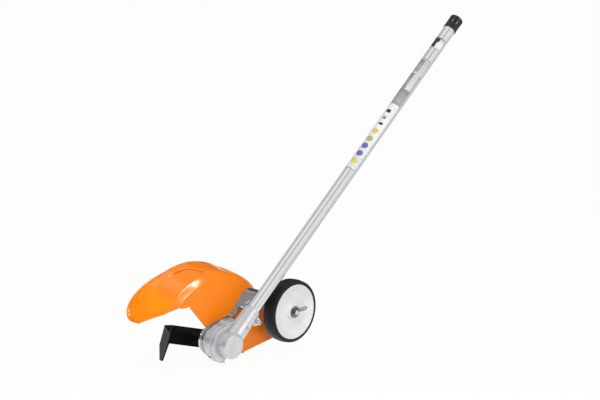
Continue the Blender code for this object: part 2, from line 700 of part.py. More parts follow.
def gear_housing():
    housing = housing_barrel()
    housing_flange(housing)
    fuse(housing, housing_neck())
    fuse(housing, clamp_ears())
    for index, degrees in enumerate(FIXING_ANGLES):
        y, z = polar(FIXING_CIRCLE, degrees)
        fuse(housing, slab(f"fixing_boss_{index + 1}", [circle(FIXING_BOSS_RADIUS, y, z, 20)],
                           FLANGE_BACK_X - CAST_OVERLAP, COLLAR_END_X, HEAD))
    fuse(housing, slab("bracket_pad", [pad_rim()], FLANGE_BACK_X - CAST_OVERLAP, COLLAR_END_X, HEAD))
    end_seat = END_BEARING - FIT
    groove = [(0, end_seat), (END_OUTER + FIT, end_seat),
              (END_OUTER + FIT, END_BEARING + END_WIDTH), (MAIN_BORE, END_BEARING + END_WIDTH + 0.002),
              (MAIN_BORE, OUTPUT_CLIP - FIT / 3), (MAIN_BORE + CIRCLIP_DEPTH, OUTPUT_CLIP - FIT / 3),
              (MAIN_BORE + CIRCLIP_DEPTH, OUTPUT_CLIP + CIRCLIP_THICKNESS + FIT / 3),
              (MAIN_BORE, OUTPUT_CLIP + CIRCLIP_THICKNESS + FIT / 3), (MAIN_BORE, WALL_BACK_X + 0.01),
              (0, WALL_BACK_X + 0.01)]
    cut(housing, turned("shaft_bore", groove, OUTPUT, None, MEDIUM))
    cavity = PINION_PITCH + ADDENDUM * GEAR_MODULE + 0.0007
    seat = INPUT_OUTER + FIT
    bore = [(0, 0.011), (cavity, 0.011), (cavity, PINION_BACK - 0.0005), (seat, PINION_BACK - 0.0005),
            (seat, INPUT_CLIP - FIT / 3), (seat + CIRCLIP_DEPTH, INPUT_CLIP - FIT / 3),
            (seat + CIRCLIP_DEPTH, INPUT_CLIP + CIRCLIP_THICKNESS + FIT / 3),
            (seat, INPUT_CLIP + CIRCLIP_THICKNESS + FIT / 3),
            (seat, TUBE_SEAT - FIT), (TUBE_RADIUS + FIT, TUBE_SEAT - FIT),
            (TUBE_RADIUS + FIT, NECK_TOP + 0.01), (0, NECK_TOP + 0.01)]
    cut(housing, turned("neck_bore", bore, BOOM, None, MEDIUM))
    slot_rim = [(-TUBE_RADIUS, TUBE_SEAT + 0.004), (-CLAMP_EAR_REACH - 0.01, TUBE_SEAT + 0.004),
                (-CLAMP_EAR_REACH - 0.01, NECK_TOP + 0.01), (-TUBE_RADIUS + 0.003, NECK_TOP + 0.01)]
    cut(housing, slab("clamp_slot", [slot_rim], -CLAMP_SLOT / 2, CLAMP_SLOT / 2, BOOM))
    hole = turned("clamp_screw_hole", rod_outline(CLAMP_SCREW_RADIUS + FIT, -0.03, 0.03), BOOM, None, 20)
    cut(housing, across_boom(hole, clamp_screw_level(), -CLAMP_SCREW_OFFSET))
    plug = turned("plug_hole", rod_outline(PLUG_RADIUS + FIT, -0.03, -INPUT_OUTER + 0.002), BOOM, None, 20)
    cut(housing, across_boom(plug, SOCKET_TOP - PLUG_BELOW_SOCKET, 0))
    for index, degrees in enumerate(FIXING_ANGLES):
        y, z = polar(FIXING_CIRCLE, degrees)
        hole = slab(f"fixing_hole_{index + 1}", [circle(FIXING_RADIUS + FIT, y, z, 16)],
                    COLLAR_END_X - FIXING_BITE - 0.001, COLLAR_END_X + 0.001, HEAD)
        cut(housing, hole)


def clamp_screw():
    seat = CLAMP_EAR_HALF_WIDTH + FIT
    top = -seat - CLAMP_HEAD
    end = CLAMP_EAR_HALF_WIDTH + CLAMP_SCREW_PAST_EAR
    outline = [(0, top + CLAMP_SOCKET_DEPTH), (CLAMP_SOCKET_RADIUS, top + CLAMP_SOCKET_DEPTH),
               (CLAMP_SOCKET_RADIUS, top), (CLAMP_HEAD_RADIUS - CLAMP_HEAD_EASE, top),
               (CLAMP_HEAD_RADIUS, top + CLAMP_HEAD_EASE), (CLAMP_HEAD_RADIUS, -seat),
               (CLAMP_SCREW_RADIUS, -seat), (CLAMP_SCREW_RADIUS, end), (0, end)]
    screw = turned("clamp_screw", outline, BOOM, ZINC_STEEL, COARSE)
    across_boom(screw, clamp_screw_level(), -CLAMP_SCREW_OFFSET)
    piece = nut("clamp_nut", CLAMP_NUT_RADIUS, CLAMP_SCREW_RADIUS + FIT, seat, seat + CLAMP_NUT_HEIGHT,
                BOOM, ZINC_STEEL)
    across_boom(piece, clamp_screw_level(), -CLAMP_SCREW_OFFSET)


def grease_plug():
    seat = NECK_BASE_RADIUS - PLUG_SINK
    top = -seat - PLUG_HEAD
    end = -INPUT_OUTER - 0.001
    outline = [(0, top), (PLUG_HEAD_RADIUS - PLUG_HEAD_EASE, top), (PLUG_HEAD_RADIUS, top + PLUG_HEAD_EASE),
               (PLUG_HEAD_RADIUS, -seat - FIT), (PLUG_RADIUS, -seat - FIT), (PLUG_RADIUS, end), (0, end)]
    plug = turned("grease_plug", outline, BOOM, ZINC_STEEL, 24)
    across_boom(plug, SOCKET_TOP - PLUG_BELOW_SOCKET, 0)


def input_pinion():
    heel, toe = bevel_gear_rings(PINION_TEETH, GEAR_TEETH, 0.0)
    shaft = INPUT_BORE
    top = SOCKET_TOP
    neck = INPUT_CLIP + CIRCLIP_THICKNESS + FIT
    rings = [toe, heel, flat_ring(heel, PINION_HUB_RADIUS, GEAR_PITCH + 0.001),
             flat_ring(heel, PINION_HUB_RADIUS, PINION_BACK), flat_ring(heel, shaft, PINION_BACK),
             flat_ring(heel, shaft, neck), flat_ring(heel, SOCKET_WALL_RADIUS, neck),
             flat_ring(heel, SOCKET_WALL_RADIUS, top)]
    pinion = place("input_pinion", stack_rings(rings, False), BOOM, POLISHED_STEEL, 25)
    half = (SQUARE_END_WIDTH + 2 * FIT) / math.sqrt(2)
    square = rod_outline(half, top - SQUARE_END_LENGTH - 0.001, top + 0.005)
    socket = turned("square_socket", square, BOOM, None, 4)
    socket.rotation_euler = (0, 0, math.pi / 4)
    cut(pinion, socket)
    clip_top = INPUT_CLIP + CIRCLIP_THICKNESS
    groove = tube_outline(shaft - CLIP_GROOVE_DEPTH, shaft + CLIP_RISE + FIT, INPUT_CLIP - FIT / 3,
                          clip_top + FIT / 3)
    cut(pinion, turned("pinion_clip_groove", groove, BOOM, None, COARSE))
    ring = tube_outline(shaft - CLIP_GROOVE_DEPTH + FIT, shaft + CLIP_RISE, INPUT_CLIP, clip_top)
    turned("pinion_clip", ring, BOOM, ZINC_STEEL, COARSE)
    ring = tube_outline(INPUT_OUTER - CIRCLIP_WIDTH + CIRCLIP_DEPTH, INPUT_OUTER + CIRCLIP_DEPTH + FIT / 3,
                        INPUT_CLIP, clip_top)
    turned("input_circlip", ring, BOOM, ZINC_STEEL, COARSE)


def output_gear():
    half_tooth = math.pi / GEAR_TEETH
    toward_boom = math.atan2(TUBE_DIRECTION.y, -TUBE_DIRECTION.z)
    heel, toe = bevel_gear_rings(GEAR_TEETH, PINION_TEETH, toward_boom + half_tooth)
    bore = output_seat() + FIT
    front = min(z for _, _, z in toe) + 0.002
    hub = GEAR_PITCH * GEAR_HUB_SHARE
    rings = [toe, heel, flat_ring(heel, hub, PINION_PITCH + 0.0025), flat_ring(heel, hub, GEAR_BACK),
             flat_ring(heel, bore, GEAR_BACK), flat_ring(heel, bore, front)]
    gear = place("output_gear", stack_rings(rings, True), OUTPUT, POLISHED_STEEL, 25)
    cut(gear, key_slot("gear_keyway", FIT))


def output_seat():
    return OUTPUT_BORE - GEAR_SEAT_STEP


def key_slot(name, slack):
    """Key between the shaft and the output gear, or the slot for it when slack is given."""
    low = PINION_PITCH - 0.002 - slack
    high = GEAR_BACK - 0.001 + slack
    seat = output_seat()
    half = KEY_HALF_WIDTH + slack
    inner = seat - KEY_IN_SHAFT - slack
    outer = seat + KEY_IN_GEAR + slack
    rim = [(-half, inner), (half, inner), (half, outer), (-half, outer)]
    return slab(name, [rim], low, high, HEAD, ZINC_STEEL if slack == 0 else None)


def output_shaft():
    seat = output_seat()
    gear_front = CONE_LENGTH - GEAR_FACE
    start = gear_front * PINION_PITCH / CONE_LENGTH
    outline = [(0, END_BEARING), (END_BORE, END_BEARING), (END_BORE, END_BEARING + END_WIDTH + FIT),
               (END_BORE + 0.0015, END_BEARING + END_WIDTH + FIT), (END_BORE + 0.0015, start), (seat, start),
               (seat, GEAR_BACK + FIT), (OUTPUT_BORE, GEAR_BACK + FIT), (OUTPUT_BORE, PLATE_X + 0.0025),
               (ARBOR_RADIUS, PLATE_X + 0.0025), (ARBOR_RADIUS, BLADE_X + BLADE_THICKNESS - 0.001),
               (THREAD_RADIUS, BLADE_X + BLADE_THICKNESS - 0.001), (THREAD_RADIUS, SHAFT_END_X - 0.0008),
               (THREAD_RADIUS - 0.0008, SHAFT_END_X), (0, SHAFT_END_X)]
    shaft = turned("output_shaft", outline, OUTPUT, POLISHED_STEEL, COARSE)
    cut(shaft, key_slot("shaft_keyway", FIT))
    key_slot("gear_key", 0)


def output_seals():
    ring = tube_outline(OUTPUT_OUTER - CIRCLIP_WIDTH, OUTPUT_OUTER + CIRCLIP_DEPTH + FIT / 3,
                        OUTPUT_CLIP, OUTPUT_CLIP + CIRCLIP_THICKNESS)
    turned("output_circlip", ring, OUTPUT, ZINC_STEEL, MEDIUM)
    lip = OUTPUT_BORE + FIT
    outline = [(lip, SEAL_X + 0.002), (lip + 0.003, SEAL_X), (OUTPUT_OUTER, SEAL_X),
               (OUTPUT_OUTER, SEAL_X + SEAL_WIDTH), (lip + 0.004, SEAL_X + SEAL_WIDTH),
               (lip, SEAL_X + SEAL_WIDTH - 0.002)]
    turned("output_seal", outline, OUTPUT, SEAL_RUBBER, MEDIUM)


def thrust_ring():
    pilot = BLADE_BORE - FIT
    bore = ARBOR_RADIUS + FIT
    back = PLATE_X + 0.0025 + FIT
    face = RING_X + RING_THICKNESS
    outline = [(bore, back), (RING_BOSS_RADIUS, back), (RING_BOSS_RADIUS, RING_X),
               (RING_RADIUS - EDGE_EASE, RING_X), (RING_RADIUS, RING_X + EDGE_EASE),
               (RING_RADIUS, face), (pilot, face), (pilot, face + PILOT_HEIGHT), (bore, face + PILOT_HEIGHT)]
    turned("thrust_ring", outline, OUTPUT, POLISHED_STEEL, FINE)


# Blade. It is drawn in the blade's own frame, whose Y runs along the arm that points forward.

def blade_tip(name, side):
    """Tip plate across the end of one arm, bent away from the gear head."""
    base = BLADE_X
    near_end, far_end = TIP_END_SHARES
    across = [(base, BLADE_HALF_WIDTH), (base + TIP_WIDTH - TIP_EASE[0], BLADE_HALF_WIDTH - TIP_EASE[1]),
              (base + TIP_WIDTH, TIP_CORNER_Z), (base + TIP_WIDTH * far_end, -TIP_DROP),
              (base + TIP_WIDTH * near_end, -TIP_DROP), (base, -BLADE_HALF_WIDTH)]
    work = bmesh.new()
    inside = side * (BLADE_REACH - BLADE_THICKNESS)
    outside = side * BLADE_REACH
    lower = [work.verts.new((-side * z, inside, x)) for x, z in across]
    upper = [work.verts.new((-side * z, outside, x)) for x, z in across]
    work.faces.new(lower)
    work.faces.new(upper)
    for k in range(len(across)):
        after = (k + 1) % len(across)
        work.faces.new((lower[k], lower[after], upper[after], upper[k]))
    return place(name, work, BLADE, None)


def blade():
    work = bmesh.new()
    bmesh.ops.create_cube(work, size=1.0)
    size = (2 * BLADE_HALF_WIDTH, 2 * BLADE_REACH, BLADE_THICKNESS)
    bmesh.ops.scale(work, vec=size, verts=work.verts[:])
    bmesh.ops.translate(work, vec=(0, 0, BLADE_X + BLADE_THICKNESS / 2), verts=work.verts[:])
    bar = place("blade", work, BLADE, BLADE_PAINT)
    fuse(bar, blade_tip("blade_tip_front", 1))
    fuse(bar, blade_tip("blade_tip_rear", -1))
    hole = turned("blade_bore", rod_outline(BLADE_BORE, BLADE_X - 0.01, BLADE_X + 0.02), BLADE, None, FINE)
    cut(bar, hole)


def blade_fixing():
    bore = THREAD_RADIUS + FIT
    face = WASHER_X + WASHER_THICKNESS
    outline = [(bore, WASHER_X), (WASHER_RADIUS, WASHER_X), (WASHER_RADIUS, face - EDGE_EASE),
               (WASHER_RADIUS - EDGE_EASE, face), (bore, face)]
    turned("blade_washer", outline, OUTPUT, ZINC_STEEL, MEDIUM)
    top = BLADE_NUT_X + BLADE_NUT_HEIGHT
    nut("blade_nut", BLADE_NUT_RADIUS, bore, BLADE_NUT_X, top, OUTPUT, ZINC_STEEL)


# Steel bracket: a plate behind the flange, with a strap that climbs back beside the boom

def strap_path():
    """Outer side of the strap, seen along X; the first run is the upper edge of the plate."""
    path = rounded(STRAP_CORNERS, closed=False, steps=6)
    start = path[0]
    share = (STRAP_FROM_Y - start[0]) / (path[1][0] - start[0])
    middle = [(start[0] + (path[1][0] - start[0]) * s, start[1] + (path[1][1] - start[1]) * s)
              for s in (share / 2, share)]
    return [start] + middle + path[1:]


def along_slope(run, depth=0.0):
    """Point on the strap's straight slope: run from its screw, and depth under its outer side."""
    low = Vector(STRAP_CORNERS[1][:2])
    high = Vector(STRAP_CORNERS[2][:2])
    along = (high - low).normalized()
    point = low.lerp(high, STRAP_SCREW_SHARE) + along * run
    return (point.x - along.y * depth, point.y + along.x * depth)


def stand_on_slope(item):
    """Stand a piece turned about Z square to the strap's slope, its origin on the outer side."""
    y, z = along_slope(0.0)
    inner_y, inner_z = along_slope(0.0, 1.0)
    item.location = (STRAP_SCREW_X, y, z)
    item.rotation_euler = (-math.atan2(y - inner_y, z - inner_z), 0, 0)
    return item


def slope_hole(name):
    hole = turned(name, rod_outline(STRAP_SCREW_RADIUS + FIT, -0.02, 0.02), HEAD, None, 16)
    return stand_on_slope(hole)


def guard_bracket():
    front = arc(PLATE_FRONT_RADIUS, 60, -46, 14)
    upper = [point for point in strap_path() if point[0] > STRAP_FROM_Y - 0.010]
    bracket = slab("guard_bracket", [front + PLATE_LOWER + PLATE_REAR + upper[::-1]], PLATE_X, STRAP_EDGE_X,
                   HEAD, BRACKET_STEEL)
    strap = slab("strap", [ribbon(strap_path(), STRAP_THICKNESS)], STRAP_NEAR_X, STRAP_EDGE_X, HEAD)
    lip_path = [LIP_FRONT] + PLATE_LOWER
    lip = slab("bottom_lip", [ribbon(lip_path[::-1], STRAP_THICKNESS)],
               PLATE_X - LIP_WIDTH, PLATE_X + 0.001, HEAD)
    cut(strap, room_beside("strap_front_side", STRAP_FROM_Y, 0.05, PLATE_X))
    cut(strap, room_beside("strap_window", STRAP_WIDE_FROM_Y, 0.05, STRAP_EDGE_X - STRAP_NARROW))
    cut(strap, room_beside("strap_rear_side", WHEEL_Y + 0.0165, WHEEL_Y + STRAP_ROOM_TO_WHEEL,
                           WHEEL_FAR_X + WHEEL_SIDE_GAP))
    boom_room = TUBE_RADIUS + CLEAR_OF_BOOM
    neck_room = NECK_TOP_RADIUS + CLEAR_OF_BOOM
    room = [(0, NECK_STRAIGHT), (NECK_BASE_RADIUS, NECK_STRAIGHT), (neck_room + 0.002, TUBE_SEAT),
            (neck_room, NECK_TOP + 0.002),
            (boom_room, NECK_TOP + 0.0025), (boom_room, NECK_TOP + 0.2), (0, NECK_TOP + 0.2)]
    cut(strap, turned("boom_room", room, BOOM, None, MEDIUM))
    fuse(bracket, strap)
    fuse(bracket, lip)
    spigot = [circle(SPIGOT_RADIUS + FIT, steps=FINE)]
    cut(bracket, slab("spigot_hole", spigot, PLATE_X - 0.02, PLATE_X + 0.02, HEAD))
    cut(bracket, slope_hole("strap_hole"))
    for index, degrees in enumerate(FIXING_ANGLES):
        y, z = polar(FIXING_CIRCLE, degrees)
        hole = slab(f"bracket_hole_{index + 1}", [circle(FIXING_RADIUS + FIT, y, z, 16)],
                    PLATE_X - 0.002, STRAP_EDGE_X + 0.001, HEAD)
        cut(bracket, hole)


def room_beside(name, back_y, front_y, far_x):
    """Block that clears the near side of the strap up to far_x, between two Y places."""
    rim = [(front_y, 0.02), (front_y, 0.12), (back_y, 0.12), (back_y, 0.02)]
    return slab(name, [rim], -0.01, far_x, HEAD)


def strap_fixing():
    """Screw and nut that clamp the wheel plate's tab under the strap."""
    tab_under = 2 * STRAP_THICKNESS + 2 * FIT
    end = tab_under + STRAP_NUT_HEIGHT + STRAP_SCREW_PAST_NUT
    head = STRAP_SCREW_HEAD_RADIUS
    outline = [(0, -end), (STRAP_SCREW_RADIUS, -end), (STRAP_SCREW_RADIUS, FIT), (head, FIT),
               (head, FIT + STRAP_SCREW_HEAD / 2), (head * 0.6, FIT + STRAP_SCREW_HEAD),
               (0, FIT + STRAP_SCREW_HEAD)]
    stand_on_slope(turned("strap_screw", outline, HEAD, ZINC_STEEL, COARSE))
    stand_on_slope(nut("strap_nut", STRAP_NUT_RADIUS, STRAP_SCREW_RADIUS + FIT,
                       -tab_under - STRAP_NUT_HEIGHT, -tab_under, HEAD, ZINC_STEEL))


# Deflector: one moulding, made of a flat wall, a sloping shoulder and a curved wing

def smooth_between(rows, steps):
    """Catmull-Rom points through rows of numbers."""
    result = []
    for index in range(len(rows) - 1):
        p0 = rows[max(index - 1, 0)]
        p1 = rows[index]
        p2 = rows[index + 1]
        p3 = rows[min(index + 2, len(rows) - 1)]
        for step in range(steps):
            t = step / steps
            result.append(tuple(0.5 * (2 * b + (c - a) * t + (2 * a - 5 * b + 4 * c - d) * t ** 2
                                       + (3 * b - a - 3 * c + d) * t ** 3)
                                for a, b, c, d in zip(p0, p1, p2, p3)))
    result.append(rows[-1])
    return result


def fold_radius(degrees):
    return FOLD_RADIUS + FOLD_SPREAD * max(0.0, degrees - FOLD_SPREAD_FROM)


def wing_radius(degrees, reach):
    """Radius of the wing's outside at a distance beyond the shoulder."""
    shoulder = fold_radius(degrees) + SHOULDER_RISE
    grown = (EDGE_RADIUS - FOLD_RADIUS - SHOULDER_RISE) * min(reach / EDGE_FROM_SHOULDER, 1.0)
    return shoulder + grown


def deflector():
    work = bmesh.new()
    shoulder_x = WALL_X + SHOULDER_RUN
    grid = []
    stations = [(*angles, reach) for angles, reach in zip(WING_ANGLES, WING_REACH)]
    for fold, shoulder, edge, reach in smooth_between(stations, 4):
        row = [(WALL_X, *polar(fold_radius(fold), fold))]
        for column in range(WING_COLUMNS + 1):
            share = column / WING_COLUMNS
            degrees = shoulder + (edge - shoulder) * share
            out = reach * share
            row.append((shoulder_x + out, *polar(wing_radius(degrees, out), degrees)))
        grid.append([work.verts.new(point) for point in row])
    for row, after in zip(grid, grid[1:]):
        for column in range(len(row) - 1):
            work.faces.new((row[column], row[column + 1], after[column + 1], after[column]))
    ring = [row[0] for row in grid] + [work.verts.new((WALL_X, y, z)) for y, z in WALL_CORNERS]
    edges = []
    for a, b in zip(ring, ring[1:] + ring[:1]):
        edges.append(work.edges.get((a, b)) or work.edges.new((a, b)))
    bmesh.ops.triangle_fill(work, use_beauty=True, edges=edges)
    bmesh.ops.recalc_face_normals(work, faces=work.faces[:])
    wall = min(work.faces, key=lambda face: face.calc_center_median().x)
    if wall.normal.x > 0:
        bmesh.ops.reverse_faces(work, faces=work.faces[:])
    mesh = bpy.data.meshes.new("deflector")
    work.to_mesh(mesh)
    work.free()
    mesh.materials.append(DEFLECTOR_ORANGE)
    mesh.shade_smooth()
    mesh.set_sharp_from_angle(angle=math.radians(30))
    item = bpy.data.objects.new("deflector", mesh)
    item.parent = HEAD
    bpy.context.scene.collection.objects.link(item)
    thick = item.modifiers.new("wall", 'SOLIDIFY')
    thick.thickness = DEFLECTOR_WALL
    thick.offset = -1
    thick.use_even_offset = True
    bore = [circle(SPIGOT_RADIUS + FIT, steps=FINE)]
    cut(item, slab("deflector_bore", bore, WALL_X - 0.01, WALL_X + 0.02, HEAD))
    for index, degrees in enumerate(FIXING_ANGLES):
        y, z = polar(FIXING_CIRCLE, degrees)
        cut(item, slab(f"deflector_hole_{index + 1}", [circle(FIXING_RADIUS + FIT, y, z, 16)],
                       WALL_X - 0.002, WALL_X + 0.01, HEAD))


def deflector_screws():
    """Short screws that clamp the deflector and the bracket to the housing's collar."""
    seat = WALL_BACK_X + FIT
    outline = [(0, COLLAR_END_X - FIXING_BITE), (FIXING_RADIUS, COLLAR_END_X - FIXING_BITE),
               (FIXING_RADIUS, seat), (FIXING_HEAD_RADIUS, seat), (FIXING_HEAD_RADIUS, seat + FIXING_HEAD),
               (0, seat + FIXING_HEAD)]
    for index, degrees in enumerate(FIXING_ANGLES):
        y, z = polar(FIXING_CIRCLE, degrees)
        screw = turned(f"deflector_screw_{index + 1}", outline, OUTPUT, ZINC_STEEL, 16)
        screw.location = (-z, y, 0)


# Depth wheel

def wheel_hub():
    near = WHEEL_NEAR_X
    far = WHEEL_FAR_X
    web = near + DISH_DEPTH
    bore = AXLE_RADIUS + FIT + WHEEL_BUSH_WALL + FIT
    rim = RIM_RADIUS - FIT
    outline = [(bore, near + 0.001), (BOSS_RADIUS - 0.002, near + 0.001), (BOSS_RADIUS + 0.002, web),
               (DISH_RADIUS, web), (RIM_RADIUS - 0.004, near + 0.001), (RIM_RADIUS - 0.003, near),
               (rim, near), (rim, far), (rim - RIM_WALL, far), (rim - RIM_WALL - 0.003, web + WEB_THICKNESS),
               (BOSS_RADIUS, web + WEB_THICKNESS), (BOSS_RADIUS - 0.001, far + 0.001), (bore, far + 0.001)]
    turned("wheel_hub", outline, WHEEL, WHEEL_WHITE, FINE)
    turned("wheel_bush", tube_outline(AXLE_RADIUS + FIT, AXLE_RADIUS + FIT + WHEEL_BUSH_WALL,
                                      near + 0.001, far + 0.001), WHEEL, BUSH_BRONZE, COARSE)


def tyre():
    near = WHEEL_NEAR_X
    far = WHEEL_FAR_X
    middle = (near + far) / 2
    crown = TYRE_RADIUS - TYRE_CROWN_EASE
    corner = TYRE_FACE_RADIUS + TYRE_CORNER[0]
    run = TYRE_CORNER[1]
    outline = [(RIM_RADIUS, near), (TYRE_FACE_RADIUS, near), (corner, near + run),
               (crown, near + TYRE_SHOULDER), (TYRE_RADIUS, middle), (crown, far - TYRE_SHOULDER),
               (corner, far - run), (TYRE_FACE_RADIUS, far), (RIM_RADIUS, far)]
    turned("tyre", outline, WHEEL, TYRE_BLACK, FINE)


def axle_places():
    """Far face of the wheel's boss, and the places of the washer and the clip on the axle."""
    boss = WHEEL_FAR_X + 0.001
    washer = WHEEL_NEAR_X + 0.001 - FIT - WHEEL_WASHER_THICKNESS
    clip = washer - FIT - CLIP_WIRE_RADIUS
    return boss, washer, clip


def wheel_axle():
    boss, washer, clip = axle_places()
    nut_far = WHEEL_PLATE_X + WHEEL_PLATE_THICKNESS + LOCK_WASHER_THICKNESS + LOCK_NUT_HEIGHT + 3 * FIT
    start = clip - AXLE_PAST_CLIP
    outline = [(0, start), (AXLE_RADIUS - 0.0008, start), (AXLE_RADIUS, start + 0.0008),
               (AXLE_RADIUS, boss + FIT), (AXLE_COLLAR_RADIUS, boss + FIT),
               (AXLE_COLLAR_RADIUS, WHEEL_PLATE_X - FIT), (AXLE_RADIUS, WHEEL_PLATE_X - FIT),
               (AXLE_RADIUS, nut_far + 0.002), (0, nut_far + 0.002)]
    axle = turned("wheel_axle", outline, WHEEL, ZINC_STEEL, COARSE)
    hole = turned("clip_hole", rod_outline(CLIP_WIRE_RADIUS + FIT, -0.02, 0.02), WHEEL, None, 12)
    hole.location = (0, 0, clip)
    hole.rotation_euler = (math.pi / 2, 0, 0)
    cut(axle, hole)
    bore = AXLE_RADIUS + FIT
    ring = tube_outline(bore, WHEEL_WASHER_RADIUS, washer, washer + WHEEL_WASHER_THICKNESS)
    turned("wheel_washer", ring, WHEEL, ZINC_STEEL, COARSE)
    low = WHEEL_PLATE_X + WHEEL_PLATE_THICKNESS + FIT
    ring = tube_outline(bore, LOCK_WASHER_RADIUS, low, low + LOCK_WASHER_THICKNESS)
    turned("axle_lock_washer", ring, WHEEL, ZINC_STEEL, COARSE)
    low += LOCK_WASHER_THICKNESS + FIT
    nut("axle_lock_nut", LOCK_NUT_RADIUS, bore, low, low + LOCK_NUT_HEIGHT, WHEEL, ZINC_STEEL)


def wheel_clip():
    """Spring clip: a straight leg through the axle and a bowed leg over it."""
    clip = axle_places()[2]
    over = AXLE_RADIUS + CLIP_WIRE_RADIUS + FIT
    bow = arc(over, 50, 130, 4)
    loop_middle = -CLIP_LENGTH + CLIP_LOOP_REACH
    turn = [(loop_middle - CLIP_LOOP_REACH * math.sin(a), CLIP_LOOP_HALF * (1 - math.cos(a)))
            for a in (0, math.pi / 4, math.pi / 2, 3 * math.pi / 4, math.pi)]
    route = [(0.010, 0.0), (0.0, 0.0), (-0.012, 0.0)] + turn + [(-0.016, 0.0042), (-0.009, 0.0038)]
    route += bow[::-1] + [(0.008, 0.0045), (0.011, 0.0068)]
    curve = bpy.data.curves.new("wheel_clip", 'CURVE')
    curve.dimensions = '3D'
    curve.bevel_depth = CLIP_WIRE_RADIUS
    curve.bevel_resolution = 2
    curve.use_fill_caps = True
    spline = curve.splines.new('POLY')
    spline.points.add(len(route) - 1)
    for point, (y, z) in zip(spline.points, route):
        point.co = (-z, y, clip, 1.0)
    curve.materials.append(ZINC_STEEL)
    item = bpy.data.objects.new("wheel_clip", curve)
    item.parent = WHEEL
    bpy.context.scene.collection.objects.link(item)


def wheel_plate():
    """Slotted plate that carries the axle, with a tab folded under the strap."""
    path = strap_path()
    below = STRAP_THICKNESS + FIT
    under = ribbon(path, below)[len(path):][::-1]
    front = along_slope(-TAB_HALF_LENGTH - 0.001, below + 0.0002)
    top = [front] + [point for point in under if point[0] < front[0]]
    lower = [along_slope(-TAB_HALF_LENGTH - 0.001, 0.014)]
    lower += [(WHEEL_Y + y, WHEEL_Z + z) for y, z in SLOT_PLATE_FRONT]
    top_end = WHEEL_Z + TRAVEL_UP
    low_end = WHEEL_Z - TRAVEL_DOWN
    foot = [(WHEEL_Y + y, low_end - SLOT_PLATE_FOOT_DROP + z) for y, z in arc(SLOT_PLATE_FOOT, -10, -180, 5)]
    rear = [(WHEEL_Y + y, top_end + z) for y, z in SLOT_PLATE_REAR]
    half = AXLE_RADIUS + FIT
    slot = [(WHEEL_Y + y, top_end + z) for y, z in arc(half, 0, 180, 8)]
    slot += [(WHEEL_Y + y, low_end + z) for y, z in arc(half, 180, 360, 8)]
    plate = slab("wheel_plate", [top[::-1] + lower + foot + rear, slot], WHEEL_PLATE_X,
                 WHEEL_PLATE_X + WHEEL_PLATE_THICKNESS, HEAD, BRACKET_STEEL)
    tab = [along_slope(-TAB_HALF_LENGTH, below), along_slope(TAB_HALF_LENGTH, below)]
    fuse(plate, slab("wheel_plate_tab", [ribbon(tab, STRAP_THICKNESS)], TAB_NEAR_X,
                     WHEEL_PLATE_X + 0.001, HEAD))
    cut(plate, slope_hole("tab_hole"))


def build():
    drive_tube()
    tube_cap()
    drive_shaft()
    shaft_bushes()
    gear_housing()
    clamp_screw()
    grease_plug()
    input_pinion()
    bearing("input_lower", INPUT_BORE, INPUT_OUTER, INPUT_WIDTH, LOWER_BEARING, BOOM)
    bearing("input_upper", INPUT_BORE, INPUT_OUTER, INPUT_WIDTH, UPPER_BEARING, BOOM)
    output_gear()
    output_shaft()
    bearing("output", OUTPUT_BORE, OUTPUT_OUTER, OUTPUT_WIDTH, OUTPUT_BEARING, OUTPUT)
    bearing("shaft_end", END_BORE, END_OUTER, END_WIDTH, END_BEARING, OUTPUT)
    output_seals()
    thrust_ring()
    blade()
    blade_fixing()
    guard_bracket()
    deflector()
    deflector_screws()
    wheel_plate()
    strap_fixing()
    wheel_axle()
    wheel_clip()
    wheel_hub()
    tyre()


build()
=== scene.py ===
import json
import math

import bmesh
import bpy
from mathutils import Matrix, Vector


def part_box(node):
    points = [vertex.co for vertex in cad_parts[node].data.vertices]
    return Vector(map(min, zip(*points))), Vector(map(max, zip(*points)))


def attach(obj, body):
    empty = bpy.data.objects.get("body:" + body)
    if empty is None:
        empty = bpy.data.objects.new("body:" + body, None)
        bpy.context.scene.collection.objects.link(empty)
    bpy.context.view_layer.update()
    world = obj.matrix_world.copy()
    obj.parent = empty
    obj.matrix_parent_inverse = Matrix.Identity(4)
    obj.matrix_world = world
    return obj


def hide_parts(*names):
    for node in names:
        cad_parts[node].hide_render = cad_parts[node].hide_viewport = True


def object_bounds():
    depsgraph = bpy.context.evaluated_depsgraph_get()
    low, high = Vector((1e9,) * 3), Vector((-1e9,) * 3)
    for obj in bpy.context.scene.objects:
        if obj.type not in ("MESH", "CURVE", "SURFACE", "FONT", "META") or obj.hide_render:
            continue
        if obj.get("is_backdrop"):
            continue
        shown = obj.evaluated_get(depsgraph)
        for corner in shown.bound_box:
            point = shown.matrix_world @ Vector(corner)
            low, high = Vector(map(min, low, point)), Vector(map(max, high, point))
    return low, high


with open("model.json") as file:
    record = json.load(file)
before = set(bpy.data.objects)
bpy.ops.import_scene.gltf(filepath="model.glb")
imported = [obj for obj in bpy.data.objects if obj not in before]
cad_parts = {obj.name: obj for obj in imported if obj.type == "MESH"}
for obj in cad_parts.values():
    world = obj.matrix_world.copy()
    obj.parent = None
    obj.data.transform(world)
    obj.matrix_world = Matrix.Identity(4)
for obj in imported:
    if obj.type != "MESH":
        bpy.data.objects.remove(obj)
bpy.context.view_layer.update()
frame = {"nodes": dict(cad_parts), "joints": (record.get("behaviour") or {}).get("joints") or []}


# Drive tube. An extruded aluminium tube, clear anodised, with fine draw lines along it
# and a hole near its upper end for the coupling's spring button. Every piece that turns
# about the tube's axis is drawn along local Z from the point where it meets the blade shaft.

